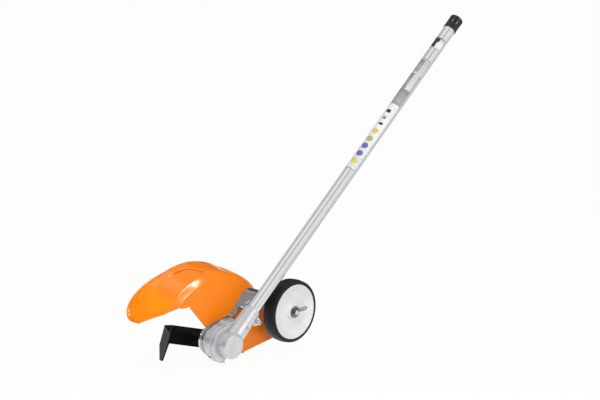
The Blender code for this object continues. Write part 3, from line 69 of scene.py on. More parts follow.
JOINTS = {joint["name"]: joint for joint in frame["joints"]}
HEAD = Vector(JOINTS["blade_spin"]["pos_m"])
UP_BOOM = Vector(JOINTS["drive_shaft_spin"]["axis"]).normalized()
TURN_TO_BOOM = Matrix.Rotation(math.atan2(-UP_BOOM.y, UP_BOOM.z), 4, 'X')
BOOM_PLACE = Matrix.Translation(HEAD) @ TURN_TO_BOOM
FIT = 0.0003
TUBE_TOP = HEAD.length
TUBE_LENGTH = 0.811
TUBE_RADIUS = 0.0127
TUBE_BORE = 0.0112
TUBE_CHAMFER = 0.0003
BUTTON_HOLE_RADIUS = 0.004
BUTTON_HOLE_FROM_END = 0.02
BUTTON_HOLE_DEPTH = 0.02


def shader_group(name, numbers, build):
    """Make a node group once; its inputs are numbers and its one output is a mask or a height."""
    if name in bpy.data.node_groups:
        return bpy.data.node_groups[name]
    tree = bpy.data.node_groups.new(name, 'ShaderNodeTree')
    for label, value in numbers:
        socket = tree.interface.new_socket(name=label, in_out='INPUT', socket_type='NodeSocketFloat')
        socket.default_value = value
    tree.interface.new_socket(name="Result", in_out='OUTPUT', socket_type='NodeSocketFloat')
    given = tree.nodes.new('NodeGroupInput')
    result = tree.nodes.new('NodeGroupOutput')
    tree.links.new(build(tree, given), result.inputs[0])
    return tree


def local_noise(tree, scale, detail=4.0, stretch=None):
    """Noise in the piece's own coordinates; scale is a number or the socket that gives it."""
    place = tree.nodes.new('ShaderNodeTexCoord')
    spot = place.outputs['Object']
    if stretch is not None:
        mapping = tree.nodes.new('ShaderNodeMapping')
        mapping.inputs['Scale'].default_value = stretch
        tree.links.new(spot, mapping.inputs['Vector'])
        spot = mapping.outputs['Vector']
    texture = tree.nodes.new('ShaderNodeTexNoise')
    texture.inputs['Detail'].default_value = detail
    tree.links.new(spot, texture.inputs['Vector'])
    if isinstance(scale, (int, float)):
        texture.inputs['Scale'].default_value = scale
    else:
        tree.links.new(scale, texture.inputs['Scale'])
    return texture.outputs['Fac']


def remap(tree, value, low, high, to_low=0.0, to_high=1.0):
    step = tree.nodes.new('ShaderNodeMapRange')
    step.clamp = True
    tree.links.new(value, step.inputs['Value'])
    step.inputs['From Min'].default_value = low
    step.inputs['From Max'].default_value = high
    step.inputs['To Min'].default_value = to_low
    step.inputs['To Max'].default_value = to_high
    return step.outputs['Result']


def arithmetic(tree, operation, first, second):
    step = tree.nodes.new('ShaderNodeMath')
    step.operation = operation
    for socket, value in zip(step.inputs, (first, second)):
        if isinstance(value, (int, float)):
            socket.default_value = value
        else:
            tree.links.new(value, socket)
    return step.outputs[0]


def build_patches(tree, given):
    return remap(tree, local_noise(tree, given.outputs['Scale'], 6.0), 0.35, 0.65)


def build_grain(tree, given):
    fine = local_noise(tree, given.outputs['Scale'], 2.0)
    coarse = local_noise(tree, arithmetic(tree, 'MULTIPLY', given.outputs['Scale'], 0.23), 3.0)
    fine = arithmetic(tree, 'MULTIPLY', fine, 0.6)
    coarse = arithmetic(tree, 'MULTIPLY', coarse, 0.4)
    return arithmetic(tree, 'ADD', fine, coarse)


def build_draw_lines(tree, given):
    """Long lines along the local Z axis, as drawing or turning leaves on a rod or tube."""
    lines = local_noise(tree, given.outputs['Scale'], 3.0, (1.0, 1.0, 0.012))
    return remap(tree, lines, 0.3, 0.7)


def build_rub(tree, given):
    """Where an outer edge has been rubbed: the edge's sharpness, broken up by noise."""
    shape = tree.nodes.new('ShaderNodeNewGeometry')
    edge = remap(tree, shape.outputs['Pointiness'], 0.53, 0.60)
    breakup = remap(tree, local_noise(tree, given.outputs['Scale'], 5.0), 0.30, 0.62)
    return arithmetic(tree, 'MULTIPLY', edge, breakup)


def build_painted_groove_shade(tree, given):
    """Painted shade: how far the piece's own surface closes in on itself, as in a groove, past a radius
    about local X.
    """
    closeness = tree.nodes.new('ShaderNodeAmbientOcclusion')
    closeness.only_local = True
    closeness.samples = 8
    tree.links.new(given.outputs['Reach'], closeness.inputs['Distance'])
    closed = remap(tree, closeness.outputs['AO'], 0.95, 0.55)
    place = tree.nodes.new('ShaderNodeTexCoord')
    parts = tree.nodes.new('ShaderNodeSeparateXYZ')
    tree.links.new(place.outputs['Object'], parts.inputs[0])
    squares = [arithmetic(tree, 'POWER', arithmetic(tree, 'ABSOLUTE', part, 0), 2)
               for part in parts.outputs[1:3]]
    out = arithmetic(tree, 'SQRT', arithmetic(tree, 'ADD', *squares), 0)
    past = arithmetic(tree, 'GREATER_THAN', out, given.outputs['From Radius'])
    return arithmetic(tree, 'MULTIPLY', closed, past)


# Each shared effect: its inputs with their first values, and what builds it
GROUPS = {"patches": ([("Scale", 40.0)], build_patches),
          "grain": ([("Scale", 900.0)], build_grain),
          "draw_lines": ([("Scale", 700.0)], build_draw_lines),
          "rub": ([("Scale", 120.0)], build_rub),
          "crevice": ([("Reach", 0.003), ("From Radius", 0.0)], build_painted_groove_shade)}


def effect(tree, kind, *values):
    """Place one of the shared surface effects in a material, with its own scale or reach."""
    node = tree.nodes.new('ShaderNodeGroup')
    node.node_tree = shader_group(kind, *GROUPS[kind])
    for socket, value in zip(node.inputs, values):
        socket.default_value = value
    return node.outputs['Result']


def blend_colours(tree, mask, first, second):
    """Mix two colours, each a plain colour or a socket, by a mask."""
    mix = tree.nodes.new('ShaderNodeMix')
    mix.data_type = 'RGBA'
    tree.links.new(mask, mix.inputs['Factor'])
    for socket, colour in ((mix.inputs['A'], first), (mix.inputs['B'], second)):
        if isinstance(colour, tuple):
            socket.default_value = (*colour, 1.0)
        else:
            tree.links.new(colour, socket)
    return mix.outputs['Result']


def finish(name, colour, second, roughness, patch_scale=40.0, grain_scale=900.0, grain_kind="grain",
           bump=0.00004, rubbed=None, rub_scale=120.0, crevice=None, groove_shade_reach=0.003, groove_shade_from=0.0,
           **shader_values):
    """Principled material: two tones in patches, rubbed edges, painted shade in grooves, uneven gloss, fine
    relief.
    """
    material = bpy.data.materials.new(name)
    material.use_nodes = True
    tree = material.node_tree
    shader = tree.nodes["Principled BSDF"]
    patches = effect(tree, "patches", patch_scale)
    tone = blend_colours(tree, patches, colour, second)
    if rubbed is not None:
        tone = blend_colours(tree, effect(tree, "rub", rub_scale), tone, rubbed)
    if crevice is not None:
        # Painted shade: a darker colour laid into grooves and inner corners, where the surface closes in.
        tone = blend_colours(tree, effect(tree, "crevice", groove_shade_reach, groove_shade_from), tone, crevice)
    tree.links.new(tone, shader.inputs['Base Color'])
    tree.links.new(remap(tree, patches, 0.0, 1.0, *roughness), shader.inputs['Roughness'])
    relief = tree.nodes.new('ShaderNodeBump')
    relief.inputs['Distance'].default_value = bump
    tree.links.new(effect(tree, grain_kind, grain_scale), relief.inputs['Height'])
    tree.links.new(relief.outputs['Normal'], shader.inputs['Normal'])
    for label, value in shader_values.items():
        shader.inputs[label.replace("_", " ")].default_value = value
    return material


TUBE_FINISH = finish("anodised_tube", (0.88, 0.885, 0.89), (0.85, 0.855, 0.865), (0.13, 0.18),
                     patch_scale=18.0, grain_kind="draw_lines", bump=0.000001, Metallic=0.92)


def smooth(mesh, angle=35):
    mesh.shade_smooth()
    mesh.set_sharp_from_angle(angle=math.radians(angle))


def piece(name, data, place=Matrix(), material=None):
    """New object from a mesh, curve, lamp or camera, stood in its place."""
    item = bpy.data.objects.new(name, data)
    bpy.context.scene.collection.objects.link(item)
    item.matrix_world = place
    if material is not None:
        data.materials.append(material)
    return item


def coat(item, material):
    """Give a piece one material all over."""
    item.data.materials.clear()
    item.data.materials.append(material)


def mesh_from(work, name):
    """Turn what has been drawn into a mesh."""
    mesh = bpy.data.meshes.new(name)
    work.to_mesh(mesh)
    work.free()
    return mesh


def turned_mesh(name, outline, segments=96):
    """Spin a closed outline of (radius, height) points about local Z."""
    work = bmesh.new()
    points = [work.verts.new((radius, 0, height)) for radius, height in outline]
    pairs = zip(points, points[1:] + points[:1])
    edges = [work.edges.new(pair) for pair in pairs if pair[0].co.x + pair[1].co.x > 1e-7]
    bmesh.ops.spin(work, geom=points + edges, cent=(0, 0, 0), axis=(0, 0, 1),
                   angle=math.tau, steps=segments, use_merge=True)
    bmesh.ops.remove_doubles(work, verts=work.verts[:], dist=1e-6)
    bmesh.ops.recalc_face_normals(work, faces=work.faces[:])
    mesh = mesh_from(work, name)
    smooth(mesh)
    return mesh


def turned(name, outline, place, material=None, segments=96):
    """Turned piece, drawn along local Z and stood in its place."""
    return piece(name, turned_mesh(name, outline, segments), place, material)


def rod(name, radius, low, high, segments=96):
    """Plain cylinder along local Z, to cut a bore or hole with."""
    return turned_mesh(name, [(0, low), (radius, low), (radius, high), (0, high)], segments)


def ease_edges(item, width, segments=2, angle=30):
    """Small rounding on every edge of a piece that is sharper than the angle."""
    bevel = item.modifiers.new("eased_edges", 'BEVEL')
    bevel.width = width
    bevel.segments = segments
    bevel.limit_method = 'ANGLE'
    bevel.angle_limit = math.radians(angle)
    bevel.harden_normals = True
    return item


def settle(item):
    """Work a piece's modifiers into its mesh for good."""
    bpy.context.view_layer.update()
    made = bpy.data.meshes.new_from_object(item.evaluated_get(bpy.context.evaluated_depsgraph_get()))
    item.modifiers.clear()
    old = item.data
    item.data = made
    bpy.data.meshes.remove(old)


def combine(item, operation, mesh, place):
    """Join a piece with another mesh that stands in its place, or cut it with that mesh."""
    tool = piece(mesh.name, mesh, place)
    modifier = item.modifiers.new("combine", 'BOOLEAN')
    modifier.object = tool
    modifier.operation = operation
    modifier.solver = 'EXACT'
    settle(item)
    bpy.data.objects.remove(tool)


def seat(item, body, slot_name, *nodes):
    """Hand a piece to the frame: what it moves with and the nodes it stands for. Its record slot is not
    used.
    """
    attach(item, body)
    if nodes:
        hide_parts(*nodes)
    return item


def drive_tube():
    low = TUBE_TOP - TUBE_LENGTH
    outline = [(TUBE_BORE, low), (TUBE_RADIUS - TUBE_CHAMFER, low), (TUBE_RADIUS, low + TUBE_CHAMFER),
               (TUBE_RADIUS, TUBE_TOP - TUBE_CHAMFER), (TUBE_RADIUS - TUBE_CHAMFER, TUBE_TOP),
               (TUBE_BORE, TUBE_TOP)]
    tube = turned("tube_shell", outline, BOOM_PLACE, TUBE_FINISH)
    hole_place = (BOOM_PLACE @ Matrix.Translation((0, 0, TUBE_TOP - BUTTON_HOLE_FROM_END))
                  @ Matrix.Rotation(-math.pi / 2, 4, 'X'))
    combine(tube, 'DIFFERENCE', rod("button_cut", BUTTON_HOLE_RADIUS, 0, BUTTON_HOLE_DEPTH, 32), hole_place)
    smooth(tube.data)
    seat(tube, "edger_frame", "tube_white", "drive_tube")


drive_tube()


# Blank stickers on the tube: a short one near the cap and a long one below it. Thin white
# film, glued round the tube's near side; plain blocks, lines and dots stand for its print.

FILM = 0.00012
STICKER_ANGLES = (16, 171)
SHORT_STICKER = (0.7850, 0.8125)
LONG_STICKER = (0.4588, 0.7551)
INK_BLACK = (0.03, 0.03, 0.032)
INK_GREY = (0.38, 0.38, 0.39)
INK_YELLOW = (0.72, 0.60, 0.12)
INK_OLIVE = (0.42, 0.45, 0.14)
INK_BLUE = (0.13, 0.14, 0.42)
INK_RED = (0.55, 0.18, 0.20)
DOTS = [(0.4784, INK_YELLOW, 0.0068), (0.4986, INK_BLUE, 0.0068), (0.5188, INK_BLUE, 0.0068),
        (0.5376, INK_OLIVE, 0.0068), (0.5580, INK_YELLOW, 0.0068), (0.5941, INK_RED, 0.0040)]
DOT_SIDE = math.radians(107)
DOT_LIFT = 2.5 * FILM
DOT_RINGS = 4
DOT_CORNERS = 32

# Printed blocks: name, levels along the tube, angles round it, ink and number of steps
BLOCKS = [("short_sticker_block", (0.7875, 0.8005), (60, 106), "black", 14),
          ("short_sticker_high_block", (0.8007, 0.8097), (60, 119), "black", 16),
          ("short_sticker_top_line", (0.8101, 0.8125), (16, 126), "black", 30),
          ("short_sticker_red_line", (0.8101, 0.8125), (126, 171), "red", 14),
          ("short_sticker_low_line", (0.7850, 0.7860), (16, 171), "grey", 40),
          ("long_sticker_top_line", (0.7537, 0.7551), (16, 171), "grey", 40),
          ("long_sticker_low_line", (0.4588, 0.4600), (16, 171), "grey", 40),
          ("long_sticker_block", (0.7193, 0.7511), (60, 122), "grey", 16),
          ("long_sticker_low_panel", (0.6319, 0.6720), (48, 171), "grey", 30),
          ("long_sticker_left_panel", (0.6724, 0.7150), (48, 108), "grey", 14),
          ("long_sticker_right_panel", (0.6724, 0.7150), (163, 171), "grey", 6),
          ("long_sticker_bar", (0.5760, 0.5812), (92, 132), "black", 12),
          ("long_sticker_mark", (0.6080, 0.6160), (84, 124), "black", 12)]


def film(name, levels, degrees, lift, material, steps=40):
    """Curved patch of film on the tube between two levels and two angles round it."""
    start, end = (math.radians(angle) for angle in degrees)
    work = bmesh.new()
    radius = TUBE_RADIUS + lift
    rows = []
    for step in range(steps + 1):
        angle = start + (end - start) * step / steps
        outside = [(radius * math.cos(angle), radius * math.sin(angle), level) for level in levels]
        rows.append([work.verts.new(point) for point in outside])
    for row, after in zip(rows, rows[1:]):
        work.faces.new((row[0], after[0], after[1], row[1]))
    mesh = mesh_from(work, name)
    item = piece(name, mesh, BOOM_PLACE, material)
    thick = item.modifiers.new("film", 'SOLIDIFY')
    thick.thickness = FILM
    thick.offset = 1
    mesh.shade_smooth()
    return seat(item, "edger_frame", "tube_white")


def dot(name, level, radius, material):
    """Round printed dot, bent to the tube."""
    work = bmesh.new()
    out = TUBE_RADIUS + DOT_LIFT
    centre = work.verts.new((out * math.cos(DOT_SIDE), out * math.sin(DOT_SIDE), level))
    before = [centre] * DOT_CORNERS
    for ring in range(1, DOT_RINGS + 1):
        reach = radius * ring / DOT_RINGS
        rim = []
        for corner in range(DOT_CORNERS):
            turn = math.tau * corner / DOT_CORNERS
            angle = DOT_SIDE + reach * math.cos(turn) / TUBE_RADIUS
            height = level + reach * math.sin(turn)
            rim.append(work.verts.new((out * math.cos(angle), out * math.sin(angle), height)))
        for corner in range(DOT_CORNERS):
            after = (corner + 1) % DOT_CORNERS
            if ring == 1:
                work.faces.new((centre, rim[corner], rim[after]))
            else:
                work.faces.new((before[corner], rim[corner], rim[after], before[after]))
        before = rim
    mesh = mesh_from(work, name)
    mesh.shade_smooth()
    return seat(piece(name, mesh, BOOM_PLACE, material), "edger_frame", "tube_white")


def print_ink(name, colour):
    darker = tuple(0.88 * part for part in colour)
    return finish(name, colour, darker, (0.42, 0.52), patch_scale=90.0, bump=0.000004)


STICKER_WHITE = finish("sticker_film", (0.80, 0.805, 0.80), (0.76, 0.77, 0.77), (0.40, 0.50),
                       patch_scale=60.0, bump=0.000001)


def stickers():
    film("short_sticker", SHORT_STICKER, STICKER_ANGLES, 0, STICKER_WHITE)
    film("long_sticker", LONG_STICKER, STICKER_ANGLES, 0, STICKER_WHITE, 48)
    block_inks = {"black": print_ink("ink_black", INK_BLACK),
                  "grey": print_ink("ink_grey", INK_GREY),
                  "red": print_ink("ink_red_line", INK_RED)}
    for name, levels, degrees, ink, steps in BLOCKS:
        film(name, levels, degrees, FILM, block_inks[ink], steps)
    dot_inks = {colour: print_ink(f"ink_dot_{index}", colour)
                for index, colour in enumerate((INK_YELLOW, INK_BLUE, INK_OLIVE, INK_RED))}
    for number, (level, colour, radius) in enumerate(DOTS, 1):
        dot(f"sticker_dot_{number}", level, radius, dot_inks[colour])


stickers()


# Tube cap. A soft black vinyl cap, dipped, pushed over the coupling end to keep dirt out;
# it has a low lip at its mouth and a closed end that is a little wider than its middle.

CAP_WALL = 0.0013
CAP_COVER = 0.0265
CAP_END = 0.0035
CAP_END_GAP = 0.0015
CAP_ROUND = 0.0042
CAP_ROUND_STEPS = 6
CAP_MOUTH_EASE = 0.0004
CAP_WAIST = 0.0003
CAP_LIP = (0.0030, 0.0036)
CAP_WIDE_END = (0.0080, 0.0070)
CAP_CROWN = 0.00005
VINYL = finish("cap_vinyl", (0.004, 0.004, 0.005), (0.008, 0.008, 0.009), (0.16, 0.24),
               patch_scale=70.0, grain_scale=600.0, bump=0.00001, Specular_IOR_Level=0.45)


def tube_cap():
    inner = TUBE_RADIUS + FIT
    outer = inner + CAP_WALL
    floor = TUBE_TOP + CAP_END_GAP
    top = floor + CAP_END
    low = TUBE_TOP - CAP_COVER
    waist = outer - CAP_WAIST
    outline = [(inner, low + CAP_MOUTH_EASE), (inner + CAP_MOUTH_EASE, low), (waist, low),
               (outer, low + CAP_MOUTH_EASE), (outer, low + CAP_LIP[0]), (waist, low + CAP_LIP[1]),
               (waist, top - CAP_WIDE_END[0]), (outer, top - CAP_WIDE_END[1])]
    for step in range(CAP_ROUND_STEPS, -1, -1):
        turn = math.pi / 2 * step / CAP_ROUND_STEPS
        outline.append((outer - CAP_ROUND + CAP_ROUND * math.sin(turn),
                        top - CAP_ROUND + CAP_ROUND * math.cos(turn)))
    outline += [(0, top + CAP_CROWN), (0, floor), (inner, floor)]
    seat(turned("cap_moulding", outline, BOOM_PLACE, VINYL, 120), "cap", "cap_black", "tube_cap")


tube_cap()


# Drive line inside the tube: a ground steel shaft with square ends, run in sintered bronze
# bushes that are held in rubber sleeves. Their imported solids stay, with their own finishes.

GROUND_STEEL = finish("ground_steel", (0.62, 0.62, 0.63), (0.55, 0.555, 0.565), (0.16, 0.26),
                      patch_scale=60.0, grain_scale=1500.0, bump=0.00001, Metallic=1.0)
BRONZE = finish("sintered_bronze", (0.46, 0.30, 0.14), (0.36, 0.23, 0.11), (0.34, 0.48),
                patch_scale=150.0, grain_scale=2500.0, bump=0.00003, Metallic=1.0)
SLEEVE_RUBBER = finish("sleeve_rubber", (0.018, 0.018, 0.019), (0.030, 0.030, 0.031), (0.55, 0.70),
                       patch_scale=80.0, grain_scale=1200.0, bump=0.00005)


def repaint(material, *names):
    """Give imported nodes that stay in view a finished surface."""
    for name in names:
        node = frame["nodes"][name]
        for place in node.material_slots:
            place.material = material
        for face in node.data.polygons:
            face.use_smooth = True
        node.data.set_sharp_from_angle(angle=math.radians(35))


repaint(GROUND_STEEL, "drive_shaft")
repaint(BRONZE, *[f"shaft_bush_{index}" for index in range(1, 5)])
repaint(SLEEVE_RUBBER, *[f"bush_sleeve_{index}" for index in range(1, 5)])


# Gear housing. Die cast aluminium: a barrel round the gears, a two-step flange behind it, a
# neck that grips the tube, and lugs for the clamp screw. It is cast in one, so its corners are
# rounded by remeshing the joined solid; its machined bores are cut sharp after that.

END_FACE_X = -0.020
BARREL_RADIUS = 0.026
BARREL_FILLET = 0.006
FLANGE_FRONT_X = 0.0045
FLANGE_BACK_X = 0.030
FLANGE_RADIUS = 0.038
FLANGE_STEP = 0.001
FLANGE_GROOVE_X = 0.0125
FLANGE_GROOVE = 0.002
GROOVE_HALF_WIDTH = 0.001
FLANGE_FRONT_END = 95
FLANGE_BACK_INSET = 0.004
FLANGE_BACK = (160, 240)
FLANGE_UNDER_INSET = 0.0105
FLANGE_UNDER = (262, 270)
CAST_LAP = 0.002
WEB_RISE = 0.0065
WEB_FRONT_Y = -0.0095
WEB_BACK_Y = -0.031
WEB_HEEL = (-0.034, 0.030)

# Where each step's rim comes down in front: how far inside the radius, and at which angle
REAR_STEP_FOOT = [(0.0078, -68), (0.0045, -43), (0.0, -23)]
FRONT_STEP_FOOT = [(0.0, -66), (0.0, -53), (0.0, -40)]
COLLAR_RADIUS = 0.030
COLLAR_END_X = 0.0417
SPIGOT_RADIUS = 0.0230
SPIGOT_END_X = 0.0490
NECK_RADIUS = 0.0190
NECK_TOP_RADIUS = 0.0165
NECK_SEAT = 0.030
NECK_TOP = TUBE_TOP - TUBE_LENGTH + NECK_SEAT
NECK_SHOULDER = [(NECK_RADIUS, 0.030), (NECK_RADIUS - 0.0005, 0.046),
                 (NECK_TOP_RADIUS + 0.001, NECK_TOP - NECK_SEAT)]
NECK_EASE = 0.0008
EAR_REACH = 0.0235
EAR_HALF_WIDTH = 0.013
EAR_LENGTH = 0.017
EAR_FROM_TOP = 0.0045
EAR_ROOT_Y = -0.008
EAR_CORNER = 0.003
CLAMP_SLOT = 0.002
CLAMP_SLOT_DEPTH = 0.026
CUT_PAST = 0.01
SCREW_BOSS_RADIUS = 0.0048
SCREW_BOSS_REACH = 0.0332
SCREW_BOSS_ANGLES = (118, 180, 250)
PAD_EDGE = [(0.006, 0.0315), (-0.0151, 0.0348), (-0.036, 0.0382), (-0.036, 0.0365), (-0.030, 0.0200)]
PAD_INSET = 0.003
MAIN_BORE = 0.0213
MAIN_CLIP_X = 0.0333
MAIN_BORE_FROM = -0.006
MAIN_BORE_CHAMFER = 0.002
END_BORE = 0.0098
END_SEAT_X = -0.0143
GEAR_CAVITY = 0.01564
GEAR_CAVITY_FROM = 0.011
INPUT_BORE = 0.0123
INPUT_BORE_FROM = 0.0265
INPUT_CLIP_LEVEL = 0.0399
CLIP_GROOVE = 0.0008
CLIP_GROOVE_WIDTH = 0.0014
CAST_VOXEL = 0.0007
HEAD_PLACE = Matrix.Translation(HEAD)
SHAFT_PLACE = HEAD_PLACE @ Matrix.Rotation(math.pi / 2, 4, 'Y')
# The casting's darker groove colour is painted shade, laid into its grooves and inner corners.
CAST_METAL = finish("cast_aluminium", (0.64, 0.645, 0.66), (0.60, 0.605, 0.62), (0.34, 0.42),
                    patch_scale=55.0, grain_scale=1300.0, bump=0.00003,
                    rubbed=(0.80, 0.80, 0.81), rub_scale=260.0,
                    crevice=(0.30, 0.305, 0.32), groove_shade_reach=0.005, Metallic=0.8)


def slab_mesh(name, outline, low, high):
    """Solid across X from a closed outline of (y, z) points."""
    work = bmesh.new()
    rim = [work.verts.new((low, y, z)) for y, z in outline]
    face = work.faces.new(rim)
    grown = bmesh.ops.extrude_face_region(work, geom=[face])["geom"]
    lifted = [item for item in grown if isinstance(item, bmesh.types.BMVert)]
    bmesh.ops.translate(work, verts=lifted, vec=(high - low, 0, 0))
    bmesh.ops.recalc_face_normals(work, faces=work.faces[:])
    return mesh_from(work, name)


def polar(radius, degrees):
    return (radius * math.cos(math.radians(degrees)), radius * math.sin(math.radians(degrees)))


def arc(radius, start, end, steps, centre=(0.0, 0.0)):
    points = [polar(radius, start + (end - start) * step / steps) for step in range(steps + 1)]
    return [(centre[0] + y, centre[1] + z) for y, z in points]


def cast_skin(item, voxel, rounds):
    """Remesh a joined solid and soften it, so that its edges and inner corners are rounded."""
    remesh = item.modifiers.new("skin", 'REMESH')
    remesh.mode = 'VOXEL'
    remesh.voxel_size = voxel
    soften = item.modifiers.new("soften", 'SMOOTH')
    soften.iterations = rounds
    soften.factor = 0.5
    settle(item)
    item.data.shade_smooth()


def flange_rim(foot, radius):
    """Outline of one step of the flange: round in front, with a web up to the neck behind it."""
    lower = [polar(radius - inset, degrees) for inset, degrees in foot[:-1]]
    front = arc(radius, foot[-1][1], FLANGE_FRONT_END, 48)
    web_top = radius + WEB_RISE
    back = arc(radius - FLANGE_BACK_INSET, *FLANGE_BACK, 24)
    under = arc(radius - FLANGE_UNDER_INSET, *FLANGE_UNDER, 2)
    return lower + front + [(WEB_FRONT_Y, web_top), (WEB_BACK_Y, web_top), WEB_HEEL] + back + under


def flange(housing):
    """Two steps, with a groove between them that is as deep as the smallest of the three slabs."""
    groove_back = FLANGE_GROOVE_X + GROOVE_HALF_WIDTH
    groove_front = FLANGE_GROOVE_X - GROOVE_HALF_WIDTH
    steps = [(REAR_STEP_FOOT, FLANGE_RADIUS, groove_back, FLANGE_BACK_X),
             (REAR_STEP_FOOT, FLANGE_RADIUS - FLANGE_GROOVE, groove_front - GROOVE_HALF_WIDTH,
              groove_back + GROOVE_HALF_WIDTH),
             (FRONT_STEP_FOOT, FLANGE_RADIUS - FLANGE_STEP, FLANGE_FRONT_X, groove_front)]
    for foot, radius, low, high in steps:
        combine(housing, 'UNION', slab_mesh("flange_step", flange_rim(foot, radius), low, high), HEAD_PLACE)


def clip_groove(radius, level):
    """Outline points of the groove that a clip sits in."""
    low = level - FIT / 3
    high = low + CLIP_GROOVE_WIDTH
    return [(radius, low), (radius + CLIP_GROOVE, low), (radius + CLIP_GROOVE, high), (radius, high)]


def ear_outline():
    """Lugs on the neck's front, seen across the boom, with the corners off their outer edge."""
    high = NECK_TOP - EAR_FROM_TOP
    low = high - EAR_LENGTH
    return [(EAR_ROOT_Y, low - 0.004), (EAR_ROOT_Y, high), (-EAR_REACH + EAR_CORNER, high),
            (-EAR_REACH, high - EAR_CORNER), (-EAR_REACH, low + EAR_CORNER), (-EAR_REACH + EAR_CORNER, low)]


def gear_housing():
    corner = BARREL_RADIUS - BARREL_FILLET
    crown = [(corner + y, END_FACE_X + BARREL_FILLET - z) for y, z in arc(BARREL_FILLET, 90, 0, 8)]
    outline = [(0, END_FACE_X)] + crown
    outline += [(BARREL_RADIUS, FLANGE_GROOVE_X), (COLLAR_RADIUS, FLANGE_GROOVE_X),
                (COLLAR_RADIUS, COLLAR_END_X), (SPIGOT_RADIUS, COLLAR_END_X),
                (SPIGOT_RADIUS, SPIGOT_END_X), (0, SPIGOT_END_X)]
    housing = turned("housing_casting", outline, SHAFT_PLACE, None, 144)
    flange(housing)
    neck = [(0, 0), (NECK_RADIUS, 0), *NECK_SHOULDER, (NECK_TOP_RADIUS, NECK_TOP - NECK_EASE),
            (NECK_TOP_RADIUS - NECK_EASE, NECK_TOP), (0, NECK_TOP)]
    combine(housing, 'UNION', turned_mesh("neck", neck, 120), BOOM_PLACE)
    combine(housing, 'UNION', slab_mesh("ears", ear_outline(), -EAR_HALF_WIDTH, EAR_HALF_WIDTH), BOOM_PLACE)
    pad = PAD_EDGE + arc(COLLAR_RADIUS - PAD_INSET, 140, 88, 5)
    bosses = [arc(SCREW_BOSS_RADIUS, 0, 345, 23, polar(SCREW_BOSS_REACH, degrees))
              for degrees in SCREW_BOSS_ANGLES]
    for outline in bosses + [pad]:
        boss = slab_mesh("boss", outline, FLANGE_BACK_X - CAST_LAP, COLLAR_END_X)
        combine(housing, 'UNION', boss, HEAD_PLACE)
    seat_level = NECK_TOP - NECK_SEAT
    past_top = NECK_TOP + CUT_PAST
    combine(housing, 'DIFFERENCE', rod("tube_seat", TUBE_RADIUS + FIT, seat_level, past_top), BOOM_PLACE)
    slot_floor = NECK_TOP - CLAMP_SLOT_DEPTH
    slot = [(-TUBE_RADIUS, slot_floor), (-EAR_REACH - CUT_PAST, slot_floor),
            (-EAR_REACH - CUT_PAST, past_top), (-TUBE_RADIUS + 0.003, past_top)]
    combine(housing, 'DIFFERENCE', slab_mesh("slot", slot, -CLAMP_SLOT / 2, CLAMP_SLOT / 2), BOOM_PLACE)
    cast_skin(housing, CAST_VOXEL, 3)
    shaft_bore = [(0, END_SEAT_X), (END_BORE, END_SEAT_X), (END_BORE, MAIN_BORE_FROM - MAIN_BORE_CHAMFER),
                  (MAIN_BORE, MAIN_BORE_FROM), *clip_groove(MAIN_BORE, MAIN_CLIP_X),
                  (MAIN_BORE, SPIGOT_END_X + CUT_PAST), (0, SPIGOT_END_X + CUT_PAST)]
    combine(housing, 'DIFFERENCE', turned_mesh("shaft_bore", shaft_bore), SHAFT_PLACE)
    neck_bore = [(0, GEAR_CAVITY_FROM), (GEAR_CAVITY, GEAR_CAVITY_FROM), (GEAR_CAVITY, INPUT_BORE_FROM),
                 (INPUT_BORE, INPUT_BORE_FROM), *clip_groove(INPUT_BORE, INPUT_CLIP_LEVEL),
                 (INPUT_BORE, seat_level + FIT), (0, seat_level + FIT)]
    combine(housing, 'DIFFERENCE', turned_mesh("neck_bore", neck_bore), BOOM_PLACE)
    coat(housing, CAST_METAL)
    housing.data.set_sharp_from_angle(angle=math.radians(50))
    seat(housing, "edger_frame", "cast_aluminium", "gear_housing")


gear_housing()


# Clamp screw, its nut and the grease plug, all zinc plated. The screw has a socket head; it
# pulls the two lugs of the neck together. The plug closes the hole that grease goes in by.

CLAMP_LEVEL = NECK_TOP - EAR_FROM_TOP - EAR_LENGTH / 2
CLAMP_OFFSET = -0.0183
CLAMP_THREAD_PAST = 0.0062
PLUG_LEVEL = 0.0481
PLUG_SEAT = 0.0186
SCREW_TIP = 0.0006
PLAIN_SHANK = 0.002
THREAD_DEPTH = 0.88
NUT_CORNER = 0.0002
ZINC = finish("zinc_plate", (0.66, 0.67, 0.69), (0.58, 0.59, 0.60), (0.20, 0.32),
              patch_scale=220.0, grain_scale=2000.0, bump=0.00002,
              rubbed=(0.82, 0.82, 0.83), rub_scale=400.0, Metallic=1.0)


def across_boom(level, offset):
    return BOOM_PLACE @ Matrix.Translation((0, offset, level)) @ Matrix.Rotation(math.pi / 2, 4, 'Y')


def hexagon_mesh(name, radius, depth, middle):
    """Hexagonal bar along local Z, round a middle level."""
    work = bmesh.new()
    bmesh.ops.create_cone(work, cap_ends=True, segments=6, radius1=radius, radius2=radius, depth=depth)
    bmesh.ops.translate(work, vec=(0, 0, middle), verts=work.verts[:])
    return mesh_from(work, name)


def screw(name, radius, length, head_radius, head_height, socket, thread_pitch=0.001):
    """Screw along local Z from 0 down to -length, its head above 0 with a hexagon socket."""
    level = -length + SCREW_TIP
    outline = [(0, -length), (radius * 0.8, -length), (radius, level)]
    while level < -PLAIN_SHANK:
        outline += [(radius, level + thread_pitch * 0.15),
                    (radius * THREAD_DEPTH, level + thread_pitch * 0.5),
                    (radius, level + thread_pitch * 0.85)]
        level += thread_pitch
    ease = min(0.0006, head_height * 0.25)
    outline += [(radius, 0), (head_radius, 0), (head_radius, head_height - ease),
                (head_radius - ease, head_height), (0, head_height)]
    item = turned(name, outline, Matrix(), None, 48)
    combine(item, 'DIFFERENCE', hexagon_mesh("socket", socket, head_height * 1.2, head_height), Matrix())
    smooth(item.data)
    return item


